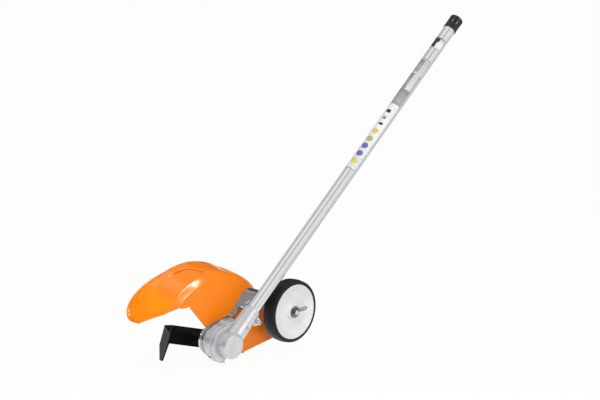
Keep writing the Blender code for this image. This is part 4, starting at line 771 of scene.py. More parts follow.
def nut(name, radius, bore, height):
    """Hexagon nut from 0 to height along local Z, with its corners turned off."""
    item = piece(name, hexagon_mesh(name, radius, height, height / 2))
    slope = radius * 0.10
    outline = [(0, 0), (radius - slope, 0), (radius + NUT_CORNER, slope),
               (radius + NUT_CORNER, height - slope), (radius - slope, height), (0, height)]
    combine(item, 'INTERSECT', turned_mesh("chamfer", outline, 48), Matrix())
    combine(item, 'DIFFERENCE', rod("hole", bore, -0.001, height + 0.001, 40), Matrix())
    smooth(item.data)
    return item


def fit_zinc(item, place, body, node):
    """Stand a zinc plated fastening in its place."""
    item.matrix_world = place
    coat(item, ZINC)
    seat(item, body, "zinc_steel", node)


def clamp_parts():
    ear_face = Matrix.Translation((0, 0, EAR_HALF_WIDTH + FIT))
    across = across_boom(CLAMP_LEVEL, CLAMP_OFFSET)
    turned_round = Matrix.Rotation(math.pi, 4, 'X')
    length = 2 * (EAR_HALF_WIDTH + FIT) + CLAMP_THREAD_PAST
    fit_zinc(screw("clamp_cap_screw", 0.003, length, head_radius=0.005, head_height=0.006, socket=0.0027),
             across @ turned_round @ ear_face, "edger_frame", "clamp_screw")
    fit_zinc(nut("clamp_hexagon_nut", 0.0055, bore=0.0033, height=0.005),
             across @ ear_face, "edger_frame", "clamp_nut")
    plug_seat = Matrix.Translation((0, 0, PLUG_SEAT + FIT))
    plug = screw("grease_plug_screw", 0.0022, 0.0056, head_radius=0.0036, head_height=0.0022, socket=0.0017)
    fit_zinc(plug, across_boom(PLUG_LEVEL, 0) @ turned_round @ plug_seat, "edger_frame", "grease_plug")


clamp_parts()


# Gears, bearings and rings inside the head: case-hardened steel gears, ground bearing rings,
# plated spring clips and a rubber lip seal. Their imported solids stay.

GEAR_STEEL = finish("gear_steel", (0.48, 0.48, 0.49), (0.40, 0.40, 0.415), (0.24, 0.36),
                    patch_scale=90.0, grain_scale=1800.0, bump=0.00002,
                    rubbed=(0.70, 0.70, 0.71), rub_scale=300.0, Metallic=1.0)
repaint(GEAR_STEEL, "input_pinion", "output_gear")
repaint(GROUND_STEEL, "output_shaft")
for bearing in ("output", "shaft_end", "input_lower", "input_upper"):
    repaint(GROUND_STEEL, f"{bearing}_outer_ring", f"{bearing}_inner_ring")
repaint(ZINC, "pinion_clip", "input_circlip", "output_circlip", "gear_key")
repaint(SLEEVE_RUBBER, "output_seal")


# Thrust ring between the head and the blade. Turned steel, polished on its rim; the blade
# is centred on its small step.

RING_X = 0.0503
RING_RADIUS = 0.028
RING_THICKNESS = 0.005
RING_BOSS_RADIUS = 0.015
RING_BORE = 0.0083
PILOT_RADIUS = 0.0122
PILOT_HEIGHT = 0.0045
RING_BOSS_X = 0.0448
RING_EASE = 0.0006
BRIGHT_STEEL = finish("bright_steel", (0.72, 0.72, 0.73), (0.66, 0.66, 0.67), (0.10, 0.18),
                      patch_scale=80.0, grain_kind="draw_lines", grain_scale=1600.0, bump=0.00001,
                      Metallic=1.0)


def thrust_ring():
    far = RING_X + RING_THICKNESS
    outline = [(RING_BORE, RING_BOSS_X), (RING_BOSS_RADIUS, RING_BOSS_X), (RING_BOSS_RADIUS, RING_X),
               (RING_RADIUS - RING_EASE, RING_X), (RING_RADIUS, RING_X + RING_EASE),
               (RING_RADIUS, far - RING_EASE), (RING_RADIUS - RING_EASE, far), (PILOT_RADIUS, far),
               (PILOT_RADIUS, far + PILOT_HEIGHT), (RING_BORE, far + PILOT_HEIGHT)]
    ring = turned("thrust_ring_turned", outline, SHAFT_PLACE, BRIGHT_STEEL, 120)
    seat(ring, "blade_group", "polished_steel", "thrust_ring")


thrust_ring()


# Blade. A flat bar of hardened steel, its ends bent square across as cutting tips. It is
# painted black; the outer side of each tip is ground bare, up to a slanting line.

BLADE_X = 0.0556
BLADE_THICKNESS = 0.005
BLADE_REACH = 0.114
BLADE_HALF_WIDTH = 0.0185
BLADE_BORE = 0.0125
BLADE_TURN = math.radians(18.1)
TIP_WIDTH = 0.0212
TIP_DROP = 0.0554
BLADE_PLACE = SHAFT_PLACE @ Matrix.Rotation(BLADE_TURN, 4, 'Z')
HOLE_PAST = (0.01, 0.02)

# Corners of a bent tip and of the ground patch on it, as seen along the bar
TIP_CORNERS = [(BLADE_X, BLADE_HALF_WIDTH), (BLADE_X + TIP_WIDTH - 0.0025, BLADE_HALF_WIDTH - 0.0034),
               (BLADE_X + TIP_WIDTH, -0.0264), (BLADE_X + TIP_WIDTH * 0.58, -TIP_DROP),
               (BLADE_X + TIP_WIDTH * 0.30, -TIP_DROP), (BLADE_X, -BLADE_HALF_WIDTH)]
GROUND_CORNERS = [(BLADE_X + 0.0004, 0.0020), (BLADE_X + TIP_WIDTH - 0.0029, BLADE_HALF_WIDTH - 0.0040),
                  (BLADE_X + TIP_WIDTH - 0.0004, -0.0263),
                  (BLADE_X + TIP_WIDTH * 0.58 - 0.0003, -TIP_DROP + 0.0005),
                  (BLADE_X + TIP_WIDTH * 0.30 + 0.0003, -TIP_DROP + 0.0005),
                  (BLADE_X + 0.0004, -BLADE_HALF_WIDTH)]
GROUND_SINK = -0.0003
GROUND_LIFT = 0.00012
BLADE_BLACK = finish("blade_paint", (0.0015, 0.0015, 0.002), (0.003, 0.003, 0.0035), (0.34, 0.46),
                     patch_scale=60.0, grain_scale=1400.0, bump=0.00005,
                     rubbed=(0.06, 0.06, 0.065), rub_scale=150.0, Specular_IOR_Level=0.03)
TIP_GROUND = finish("ground_tip", (0.19, 0.195, 0.195), (0.11, 0.115, 0.115), (0.30, 0.46),
                    patch_scale=180.0, grain_kind="draw_lines", grain_scale=1500.0, bump=0.00004,
                    Metallic=0.9)


def bar_mesh():
    work = bmesh.new()
    rim = [work.verts.new((x, y, BLADE_X))
           for y, x in ((-BLADE_REACH, -BLADE_HALF_WIDTH), (BLADE_REACH, -BLADE_HALF_WIDTH),
                        (BLADE_REACH, BLADE_HALF_WIDTH), (-BLADE_REACH, BLADE_HALF_WIDTH))]
    face = work.faces.new(rim)
    grown = bmesh.ops.extrude_face_region(work, geom=[face])["geom"]
    bmesh.ops.translate(work, vec=(0, 0, BLADE_THICKNESS),
                        verts=[item for item in grown if isinstance(item, bmesh.types.BMVert)])
    bmesh.ops.recalc_face_normals(work, faces=work.faces[:])
    return mesh_from(work, "blade_bar")


def tip_mesh(name, side, corners, inner, outer):
    """Plate across one end of the bar, between two distances past the bar's end face."""
    work = bmesh.new()
    layers = [[work.verts.new((-side * z, side * (BLADE_REACH + past), x)) for x, z in corners]
              for past in (inner, outer)]
    for layer in layers:
        work.faces.new(layer)
    for index in range(len(corners)):
        after = (index + 1) % len(corners)
        work.faces.new((layers[0][index], layers[0][after], layers[1][after], layers[1][index]))
    bmesh.ops.recalc_face_normals(work, faces=work.faces[:])
    return mesh_from(work, name)


def blade():
    """Bar and tips in one; its mesh is moved into the world's frame, so that its bounding box fits it."""
    item = piece("blade_bar", bar_mesh(), BLADE_PLACE)
    for side in (1, -1):
        combine(item, 'UNION', tip_mesh("tip", side, TIP_CORNERS, -BLADE_THICKNESS, 0), BLADE_PLACE)
    below, above = HOLE_PAST
    combine(item, 'DIFFERENCE', rod("hole", BLADE_BORE, BLADE_X - below, BLADE_X + above, 72), BLADE_PLACE)
    coat(item, BLADE_BLACK)
    smooth(item.data)
    item.data.transform(BLADE_PLACE)
    item.matrix_world = Matrix()
    ease_edges(item, 0.0005)
    item.visible_glossy = False
    seat(item, "blade_group", "blade_paint", "blade")
    for side, name in ((1, "ground_face_front"), (-1, "ground_face_rear")):
        patch = tip_mesh(name, side, GROUND_CORNERS, GROUND_SINK, GROUND_LIFT)
        seat(piece(name, patch, BLADE_PLACE, TIP_GROUND), "blade_group", "blade_paint")


blade()


# Blade washer and nut on the far side: a thick dished washer and a zinc plated hexagon nut
# on the shaft's end, with its thread showing past the nut.

WASHER_X = 0.0609
WASHER_RADIUS = 0.022
WASHER_THICKNESS = 0.004
THREAD_RADIUS = 0.006
BLADE_NUT_X = 0.0652
BLADE_NUT_RADIUS = 0.011
BLADE_NUT_HEIGHT = 0.010
WASHER_EASE = 0.0004
WASHER_DISH = [(WASHER_RADIUS, WASHER_X + 0.0024), (WASHER_RADIUS - 0.0010, WASHER_X + 0.0034),
               (WASHER_RADIUS - 0.004, WASHER_X + WASHER_THICKNESS)]


def blade_fixing():
    bore = THREAD_RADIUS + FIT
    outline = [(bore, WASHER_X), (WASHER_RADIUS - WASHER_EASE, WASHER_X),
               (WASHER_RADIUS, WASHER_X + WASHER_EASE), *WASHER_DISH,
               (bore, WASHER_X + WASHER_THICKNESS)]
    fit_zinc(turned("blade_dished_washer", outline, SHAFT_PLACE), SHAFT_PLACE, "blade_group", "blade_washer")
    fit_zinc(nut("blade_hexagon_nut", BLADE_NUT_RADIUS, bore, BLADE_NUT_HEIGHT),
             SHAFT_PLACE @ Matrix.Translation((0, 0, BLADE_NUT_X)), "blade_group", "blade_nut")


blade_fixing()


# Guard bracket. Pressed from steel sheet and bright plated: a plate behind the flange, with a
# strap folded from its edge that climbs back beside the boom. The slotted wheel plate is
# pressed from the same sheet. Both keep their packed form, with eased edges.

BRACKET_STEEL = finish("bracket_steel", (0.52, 0.53, 0.545), (0.48, 0.49, 0.505), (0.14, 0.20),
                       patch_scale=50.0, bump=0.00002, rubbed=(0.80, 0.81, 0.82), rub_scale=70.0,
                       Metallic=1.0)
PRESSED_EDGE = 0.0004


def pressing(name, node):
    """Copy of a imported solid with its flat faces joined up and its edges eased."""
    mesh = frame["nodes"][node].data.copy()
    work = bmesh.new()
    work.from_mesh(mesh)
    bmesh.ops.remove_doubles(work, verts=work.verts[:], dist=0.00002)
    bmesh.ops.dissolve_limit(work, angle_limit=math.radians(3), verts=work.verts[:], edges=work.edges[:])
    work.to_mesh(mesh)
    work.free()
    mesh.materials.clear()
    item = piece(name, mesh, Matrix(), BRACKET_STEEL)
    smooth(mesh, 30)
    ease_edges(item, PRESSED_EDGE, 2, 40)
    seat(item, "edger_frame", "bracket_steel", node)


pressing("bracket_pressing", "guard_bracket")
pressing("wheel_plate_pressing", "wheel_plate")
repaint(ZINC, "strap_screw", "strap_nut", "deflector_screw_1", "deflector_screw_2", "deflector_screw_3")


# Deflector. One injection moulding in orange: a flat wall beside the blade, a sloping
# shoulder and a curved wing over it. The rear of the wing stands proud of its front panel,
# a bead runs round its rim, and low ribs stiffen the wall and the cut edge of its opening.

WALL_X = 0.0463
WALL_THICKNESS = 0.003
FOLD_RADIUS = 0.1225
FOLD_SPREAD = 0.00055
FOLD_SPREAD_FROM = 117
SHOULDER_RISE = 0.0165
SHOULDER_RUN = 0.013
EDGE_RADIUS = 0.150
EDGE_FROM_SHOULDER = 0.053
FOLD_EASE = 0.0050
SHOULDER_EASE = 0.0060
EASE_STEPS = 12
SLOPE_STEPS = 9
RELIEF_FROM_FOLD = 0.008
RIBS_PAST_SHOULDER = 0.010
INSIDE_FOLD = 0.02
SHORT_REACH = 0.030
EASE_SHARE = 0.45
EVEN_MARKS = (0, 0.35, 0.45, 0.75, 0.85, 1)
LINE_TRIES = 200

# Wing stations: angles at the fold, the shoulder and the edge, then how far the edge reaches
WING_STATIONS = [(45.2, 34.5, 20.5, 0.053), (46.5, 37, 21.5, 0.080), (50, 42, 29, 0.093),
                 (57, 50, 39.5, 0.092), (66, 62, 57, 0.076), (75, 73, 70, 0.062),
                 (97, 97, 96.5, 0.049), (113, 113, 113, 0.040), (124, 124, 124, 0.022),
                 (136, 136, 136, 0.009), (150, 150, 150, 0.006)]
WING_ROWS = 14
WING_COLUMNS = (20, 10, 20, 5, 6)

# The proud part lies beyond this line of angles and X places
PROUD_LINE = [(66, 0.1060), (71.5, 0.1035), (83, 0.0955), (87.3, 0.0784), (93, 0.0587), (96.4, 0.0463)]
PROUD_LIFT = 0.0028
PROUD_STEP = 0.0012
GROOVE_DEPTH = 0.0020
GROOVE_SPREAD = 0.0009
PROUD_FADE = (63.0, 73.0)
BEAD_LIFT = 0.0022
BEAD_WIDTH = 0.0050
BEAD_STEP = 0.0016
RIB_ANGLES = (119.0, 134.0)
RIB_LIFT = 0.0007
RIB_SPREAD = 0.7

# Low ridges on the wall, each from its start to its fading end, with its width and height
WALL_RIBS = [((-0.0125, 0.1190), (-0.0190, 0.0840), 0.0020, 0.0006),
             ((-0.0610, 0.1020), (-0.0430, 0.0780), 0.0018, 0.0005),
             ((-0.0890, 0.0910), (-0.0740, 0.0770), 0.0018, 0.0005)]
OPENING_EDGE = [(0.011, 0.0281), (0.0592, 0.0827)]
OPENING_RIB = (0.0022, 0.0027)
OPENING_RIB_INSET = (0.001, 0.006)
WALL_LAP = 0.0010

# The wall's rim beyond the fold, from the rear of the wing round below the shaft to the opening
WALL_RIM = [(-0.150, 0.046), (-0.164, 0.034), (-0.177, 0.020), (-0.1855, 0.008), (-0.189, -0.004),
            (-0.1905, -0.016), (-0.189, -0.026), (-0.1855, -0.0335), (-0.180, -0.036),
            (-0.0955, -0.046), (-0.062, -0.048), (-0.044, -0.044), (-0.022, -0.045), (-0.001, -0.040),
            (0.004, -0.020), (0.004, 0.020), *OPENING_EDGE]
# The moulding's dark orange groove colour is painted shade, laid into the groove on the wing past the given
# radius.
ORANGE = finish("deflector_orange", (0.92, 0.225, 0.004), (0.90, 0.208, 0.004), (0.16, 0.20),
                patch_scale=14.0, grain_scale=260.0, bump=0.000015,
                crevice=(0.50, 0.055, 0.001), groove_shade_reach=0.0035, groove_shade_from=0.1365,
                Specular_IOR_Level=0.16, Coat_Weight=0.08, Coat_Roughness=0.08,
                Subsurface_Weight=0.06, Subsurface_Scale=0.003)


def smooth_between(rows, steps):
    """Points of a smooth (Catmull-Rom) curve through rows of numbers."""
    result = []
    last = len(rows) - 1
    for index in range(last):
        four = rows[max(index - 1, 0)], rows[index], rows[index + 1], rows[min(index + 2, last)]
        for step in range(steps):
            t = step / steps
            result.append(tuple(0.5 * (2 * b + (c - a) * t + (2 * a - 5 * b + 4 * c - d) * t ** 2
                                       + (3 * b - a - 3 * c + d) * t ** 3)
                                for a, b, c, d in zip(*four)))
    result.append(rows[-1])
    return result


def soft_step(value):
    """0 below 0, 1 above 1 and a smooth rise between."""
    share = min(max(value, 0.0), 1.0)
    return share * share * (3 - 2 * share)


def fold_radius(degrees):
    return FOLD_RADIUS + FOLD_SPREAD * max(0.0, degrees - FOLD_SPREAD_FROM)


def proud_line(degrees):
    """X place at which the proud part begins, at an angle round the blade's shaft."""
    for (low, first), (high, second) in zip(PROUD_LINE, PROUD_LINE[1:]):
        if degrees <= high:
            return first + (second - first) * max(0.0, (degrees - low) / (high - low))
    return PROUD_LINE[-1][1]


def relief(point, row_edge, free_edge):
    """How far the surface lies under the moulding's outer form, measured toward the shaft."""
    degrees = math.degrees(math.atan2(point.z, point.y))
    low, high = PROUD_FADE
    proud = soft_step((point.x - proud_line(degrees)) / PROUD_STEP + 0.5)
    proud *= soft_step((degrees - low) / (high - low))
    nearest = min((point - row_edge).length, (point - free_edge).length)
    bead = (1 - soft_step((nearest - BEAD_WIDTH) / BEAD_STEP + 0.5)) * BEAD_LIFT / PROUD_LIFT
    rib = sum(math.exp(-((degrees - angle) / RIB_SPREAD) ** 2) for angle in RIB_ANGLES) * RIB_LIFT
    past_fold = soft_step((point.x - WALL_X) / (SHOULDER_RUN + RELIEF_FROM_FOLD))
    past_shoulder = soft_step((point.x - WALL_X - SHOULDER_RUN) / RIBS_PAST_SHOULDER)
    from_line = (point.x - proud_line(degrees) + PROUD_STEP) / GROOVE_SPREAD
    groove = math.exp(-from_line ** 2) * GROOVE_DEPTH * soft_step((degrees - low) / (high - low))
    sunk = PROUD_LIFT * (1 - max(proud, bead)) + groove - rib * (1 - past_shoulder)
    return past_fold * max(sunk, 0.0)


def bend(before, corner, after, ease, steps):
    """Points of a rounded corner, from its tangent point on one side to that on the other."""
    start = corner + (before - corner).normalized() * ease
    end = corner + (after - corner).normalized() * ease
    points = []
    for step in range(steps + 1):
        share = step / steps
        points.append(start * (1 - share) ** 2 + corner * 2 * share * (1 - share) + end * share ** 2)
    return points


def wing_marks(shoulder, edge, reach, start):
    """Shares of the reach between which columns are spread: close at the groove and at the bead's step."""
    if reach < SHORT_REACH:
        return [start + (1 - start) * mark for mark in EVEN_MARKS]
    bead = 1 - BEAD_WIDTH / reach
    bead_half = BEAD_STEP / reach / 2
    half = PROUD_STEP / reach / 2
    groove = 5 * half
    places = [step / LINE_TRIES for step in range(LINE_TRIES + 1)]
    line = next((share for share in places if WALL_X + SHOULDER_RUN + reach * share
                 > proud_line(shoulder + (edge - shoulder) * share)), 1.0)
    line = min(max(line, start + groove + half), bead - bead_half - 3 * half)
    return [start, line - groove, line + half, bead - bead_half, bead + bead_half, 1.0]


def wing_section(fold, shoulder, edge, reach):
    """Points of one station, from the wall over the rounded fold and shoulder to the wing's edge."""
    fold_point = Vector((WALL_X, *polar(fold_radius(fold), fold)))
    shoulder_radius = fold_radius(shoulder) + SHOULDER_RISE
    shoulder_point = Vector((WALL_X + SHOULDER_RUN, *polar(shoulder_radius, shoulder)))
    ease = min(SHOULDER_EASE, EASE_SHARE * reach)
    marks = wing_marks(shoulder, edge, reach, ease / reach)
    shares = [low + (high - low) * (step + 1) / count
              for low, high, count in zip(marks, marks[1:], WING_COLUMNS) for step in range(count)]
    wing = []
    for share in [ease / reach] + shares:
        degrees = shoulder + (edge - shoulder) * share
        rise = (EDGE_RADIUS - FOLD_RADIUS - SHOULDER_RISE) * min(reach * share / EDGE_FROM_SHOULDER, 1.0)
        radius = fold_radius(degrees) + SHOULDER_RISE + rise
        wing.append(Vector((shoulder_point.x + reach * share, *polar(radius, degrees))))
    inside = Vector((WALL_X, *polar(fold_radius(fold) - INSIDE_FOLD, fold)))
    points = bend(inside, fold_point, shoulder_point, FOLD_EASE, EASE_STEPS)
    shoulder_bend = bend(fold_point, shoulder_point, wing[0], (wing[0] - shoulder_point).length, EASE_STEPS)
    slope = [points[-1].lerp(shoulder_bend[0], step / SLOPE_STEPS) for step in range(1, SLOPE_STEPS)]
    return points + slope + shoulder_bend + wing[1:]


def wing_grid():
    """Rows of points over the moulding's top, each sunk toward the shaft by its relief."""
    sections = [wing_section(*station) for station in smooth_between(WING_STATIONS, WING_ROWS)]
    rows = []
    for section in sections:
        row = []
        for column, point in enumerate(section):
            depth = relief(point, section[-1], sections[0][column])
            radius = math.hypot(point.y, point.z)
            share = (radius - depth) / radius
            row.append(Vector((point.x, point.y * share, point.z * share)))
        rows.append(row)
    return rows


def deflector():
    work = bmesh.new()
    grid = [[work.verts.new(point) for point in row] for row in wing_grid()]
    for row, after in zip(grid, grid[1:]):
        for column in range(len(row) - 1):
            work.faces.new((row[column], row[column + 1], after[column + 1], after[column]))
    ring = [row[0] for row in grid] + [work.verts.new((WALL_X, y, z)) for y, z in WALL_RIM]
    edges = [work.edges.get(pair) or work.edges.new(pair) for pair in zip(ring, ring[1:] + ring[:1])]
    bmesh.ops.triangle_fill(work, use_beauty=True, edges=edges)
    bmesh.ops.recalc_face_normals(work, faces=work.faces[:])
    wall = min(work.faces, key=lambda face: face.calc_center_median().x)
    if wall.normal.x > 0:
        bmesh.ops.reverse_faces(work, faces=work.faces[:])
    item = piece("deflector_moulding", mesh_from(work, "deflector_moulding"), HEAD_PLACE, ORANGE)
    thick = item.modifiers.new("wall", 'SOLIDIFY')
    thick.thickness = WALL_THICKNESS
    thick.offset = -1
    settle(item)
    below, above = HOLE_PAST
    hole = rod("hole", SPIGOT_RADIUS + FIT, WALL_X - below, WALL_X + above, 72)
    combine(item, 'DIFFERENCE', hole, SHAFT_PLACE)
    for rib in WALL_RIBS:
        combine(item, 'UNION', wall_rib(*rib), HEAD_PLACE)
    combine(item, 'UNION', opening_rib(), HEAD_PLACE)
    smooth(item.data, 28)
    ease_edges(item, 0.0009, 3, 40)
    item.visible_glossy = False
    seat(item, "edger_frame", "deflector_orange", "deflector")


def wall_rib(start, end, width, height):
    """Low ridge on the wall's near face, that fades out along its length."""
    first, last = Vector(start), Vector(end)
    along = (last - first).normalized()
    side = Vector((along.y, -along.x)) * width / 2
    corners = [(first - side, WALL_LAP), (first, -height), (first + side, WALL_LAP), (last, WALL_LAP / 4)]
    work = bmesh.new()
    left, crest, right, tail = [work.verts.new((WALL_X + x, *spot)) for spot, x in corners]
    deep = work.verts.new((WALL_X + 2 * WALL_LAP, *((first + last) / 2)))
    for face in ((left, crest, tail), (crest, right, tail), (left, right, crest), (left, tail, deep),
                 (tail, right, deep), (right, left, deep)):
        work.faces.new(face)
    bmesh.ops.recalc_face_normals(work, faces=work.faces[:])
    return mesh_from(work, "rib")


def opening_rib():
    """Return along the opening's cut edge, on the wall's far side."""
    thick, tall = OPENING_RIB
    first, last = (Vector(spot) for spot in OPENING_EDGE)
    along = (last - first).normalized()
    first += along * OPENING_RIB_INSET[0]
    last -= along * OPENING_RIB_INSET[1]
    inward = Vector((-along.y, along.x)) * thick
    rim = [tuple(spot) for spot in (first, last, last + inward, first + inward)]
    back = WALL_X + WALL_THICKNESS
    return slab_mesh("opening_rib", rim, back - WALL_LAP, back + tall)


deflector()


# Wheel axle and what is on it: a plated stub axle with a shoulder, held in the wheel plate's
# slot by a nut and washer; a dark washer and a spring clip of bent wire keep the wheel on.

WHEEL_CENTRE = Vector(JOINTS["wheel_spin"]["pos_m"])
WHEEL_PLACE = Matrix.Translation(WHEEL_CENTRE) @ Matrix.Rotation(math.pi / 2, 4, 'Y')
CLIP_WIRE = 0.0012
CLIP_LENGTH = 0.031
CLIP_LOOP = (0.0032, 0.0026)
CLIP_STRAIGHT_LEG = [(0.010, 0.0), (0.0, 0.0), (-0.012, 0.0)]
CLIP_BOWED_LEG = [(-0.016, 0.0042), (-0.009, 0.0038)]
CLIP_TAIL = [(0.008, 0.0045), (0.011, 0.0068)]
AXLE_RADIUS = 0.005
CLIP_STEEL = finish("clip_steel", (0.22, 0.22, 0.225), (0.15, 0.15, 0.155), (0.22, 0.34),
                    patch_scale=220.0, grain_scale=1500.0, bump=0.00001, Metallic=1.0)
DARK_WASHER = finish("dark_washer", (0.020, 0.020, 0.022), (0.035, 0.035, 0.037), (0.30, 0.45),
                     patch_scale=200.0, grain_scale=1500.0, bump=0.00003,
                     rubbed=(0.25, 0.25, 0.25), rub_scale=200.0, Metallic=0.5)


def wheel_clip():
    over = AXLE_RADIUS + CLIP_WIRE + FIT
    bow = arc(over, 50, 130, 8)
    loop_middle = -CLIP_LENGTH + 0.003
    long, wide = CLIP_LOOP
    turns = [math.radians(degrees) for degrees in range(0, 181, 20)]
    loop = [(loop_middle - long * math.sin(turn), wide - wide * math.cos(turn)) for turn in turns]
    route = CLIP_STRAIGHT_LEG + loop + CLIP_BOWED_LEG + bow[::-1] + CLIP_TAIL
    curve = bpy.data.curves.new("clip_wire", 'CURVE')
    curve.dimensions = '3D'
    curve.bevel_depth = CLIP_WIRE
    curve.bevel_resolution = 5
    curve.use_fill_caps = True
    spline = curve.splines.new('POLY')
    spline.points.add(len(route) - 1)
    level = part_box("wheel_clip")[0].x + CLIP_WIRE - WHEEL_PLACE.translation.x
    for point, (y, z) in zip(spline.points, route):
        point.co = (-z, y, level, 1.0)
    seat(piece("clip_wire", curve, WHEEL_PLACE, CLIP_STEEL), "axle_group", "zinc_steel", "wheel_clip")


wheel_clip()
repaint(ZINC, "wheel_axle", "axle_lock_washer", "axle_lock_nut")
repaint(DARK_WASHER, "wheel_washer")
repaint(BRONZE, "wheel_bush")


# Depth wheel: a white moulded hub with a dished face and a boss, and a solid black tyre
# pressed over its rim.

NEAR_X = -0.017
FAR_X = 0.013
RIM_RADIUS = 0.0562
TYRE_RADIUS = 0.0645
WEB_X = NEAR_X + 0.0095
WEB_THICKNESS = 0.004
DISH_RADIUS = 0.041
BOSS_RADIUS = 0.015
BOSS_CURVE = [(BOSS_RADIUS - 0.002, NEAR_X + 0.0012), (BOSS_RADIUS, NEAR_X + 0.0045),
              (BOSS_RADIUS + 0.0015, WEB_X - 0.0012), (BOSS_RADIUS + 0.0045, WEB_X)]
DISH_CURVE = [(DISH_RADIUS - 0.002, WEB_X), (DISH_RADIUS + 0.0005, WEB_X - 0.0004),
              (DISH_RADIUS + 0.0055, WEB_X - 0.0042), (RIM_RADIUS - 0.0045, NEAR_X + 0.0016),
              (RIM_RADIUS - 0.0034, NEAR_X + 0.0004)]
HUB_BORE = 0.0078
HUB_EASE = 0.0004
TYRE_FACE_RADIUS = 0.0615
TYRE_CROWN = [(TYRE_FACE_RADIUS, NEAR_X + 0.0004), (TYRE_FACE_RADIUS + 0.0016, NEAR_X + 0.0022),
              (TYRE_RADIUS - 0.0009, NEAR_X + 0.0068), (TYRE_RADIUS, (NEAR_X + FAR_X) / 2),
              (TYRE_RADIUS - 0.0009, FAR_X - 0.0068), (TYRE_FACE_RADIUS + 0.0016, FAR_X - 0.0022),
              (TYRE_FACE_RADIUS, FAR_X - 0.0004)]
HUB_WHITE = finish("hub_white", (0.76, 0.76, 0.765), (0.73, 0.735, 0.74), (0.30, 0.42),
                   patch_scale=24.0, bump=0.00003, Subsurface_Weight=0.08, Subsurface_Scale=0.003)
TYRE_RUBBER = finish("tyre_rubber", (0.007, 0.007, 0.008), (0.011, 0.011, 0.012), (0.42, 0.58),
                     patch_scale=30.0, grain_scale=1100.0, bump=0.00008,
                     rubbed=(0.035, 0.035, 0.035), rub_scale=60.0, Specular_IOR_Level=0.25)


def wheel_hub():
    face = [(HUB_BORE, NEAR_X + 0.001), (BOSS_RADIUS - 0.0035, NEAR_X + 0.001)]
    face += smooth_between(BOSS_CURVE, 5) + smooth_between(DISH_CURVE, 5)
    rim = RIM_RADIUS - FIT
    face += [(RIM_RADIUS - 0.0030, NEAR_X), (rim - HUB_EASE, NEAR_X), (rim, NEAR_X + HUB_EASE)]
    back = [(rim, FAR_X - HUB_EASE), (rim - HUB_EASE, FAR_X), (rim - 0.0031, FAR_X),
            (rim - 0.0035, FAR_X - HUB_EASE)]
    web_back = WEB_X + WEB_THICKNESS
    back += [(rim - 0.0065, web_back + 0.001), (rim - 0.0085, web_back),
             (BOSS_RADIUS + 0.001, web_back), (BOSS_RADIUS, web_back + 0.001),
             (BOSS_RADIUS - 0.001, FAR_X + 0.001), (HUB_BORE, FAR_X + 0.001)]
    hub = turned("hub_moulding", face + back, WHEEL_PLACE, HUB_WHITE, 144)
    seat(hub, "wheel_group", "wheel_white", "wheel_hub")


def tyre():
    face = TYRE_FACE_RADIUS
    outline = [(RIM_RADIUS, NEAR_X + 0.0003), (RIM_RADIUS + 0.0005, NEAR_X), (face - 0.0006, NEAR_X)]
    outline += smooth_between(TYRE_CROWN, 6)
    outline += [(face - 0.0006, FAR_X), (RIM_RADIUS + 0.0005, FAR_X), (RIM_RADIUS, FAR_X - 0.0003)]
    item = turned("tyre_moulding", outline, WHEEL_PLACE, TYRE_RUBBER, 160)
    seat(item, "wheel_group", "tyre_black", "tyre")


wheel_hub()
tyre()


# Studio: a white floor that keeps the shadow, a white surround, two soft lamps, cards for the
# metal to mirror, lamps that each draw a highlight on one piece, and the photograph's camera.

FLOOR_SIZE = 80.0
FLOOR_LIFT = 0.94
FLOOR_PAPER = (0.94, 0.94, 0.94)
SURROUND = 0.58
STUDIO_REACH = 3.0
ONE_FACE = [(0, 1, 2, 3)]

# Watts a square metre of area lamp takes to shine with a radiance of one
WATTS_PER_RADIANCE = 4

# Cards that the tube mirrors, side by side round it: from, to, brightness
TUBE_STREAKS = [((0.93, -0.22, 0.30), (0.84, -0.05, 0.54), 1.0),
                ((0.84, -0.05, 0.54), (0.52, 0.181, 0.835), 0.36),
                ((0.52, 0.181, 0.835), (-0.32, 0.245, 0.915), 0.85),
                ((-0.32, 0.245, 0.915), (-0.63, 0.125, 0.765), 0.42),
                ((-0.63, 0.125, 0.765), (-0.84, -0.055, 0.54), 0.82)]
DARK_WALL_STEPS = 24
STREAK_HALF_LENGTH = 1.3
STREAK_MIDDLE = 0.3
# Dark card on the floor under the head, seen only in reflections: painted shadow where the floor's shade
# falls.
FLOOR_SHADOW_CARD = [(0.11, 0.09, -0.053), (0.11, -0.10, -0.053), (-0.05, -0.10, -0.053), (-0.05, 0.09, -0.053)]
GREY_FLOOR_CARD = [(0.6, -0.45, -0.05), (0.6, -6.0, -0.05), (-6.0, -6.0, -0.05), (-6.0, -0.45, -0.05)]
LEFT_DARK_CARD = [(0.72, 0.40, 0.56), (0.45, 0.80, 0.40), (-0.05, 0.85, 0.52), (0.25, 0.42, 0.87)]


def seen_directly(tree):
    """1 for rays from the camera, off a gloss or through glass, and 0 for light that falls on things."""
    path = tree.nodes.new('ShaderNodeLightPath')
    seen = arithmetic(tree, 'MAXIMUM', path.outputs['Is Camera Ray'], path.outputs['Is Glossy Ray'])
    return arithmetic(tree, 'MAXIMUM', seen, path.outputs['Is Transmission Ray'])


def mix_shaders(tree, share, first, second, output):
    mix = tree.nodes.new('ShaderNodeMixShader')
    tree.links.new(share, mix.inputs['Fac'])
    tree.links.new(first.outputs[0], mix.inputs[1])
    tree.links.new(second.outputs[0], mix.inputs[2])
    tree.links.new(mix.outputs[0], tree.nodes[output].inputs['Surface'])


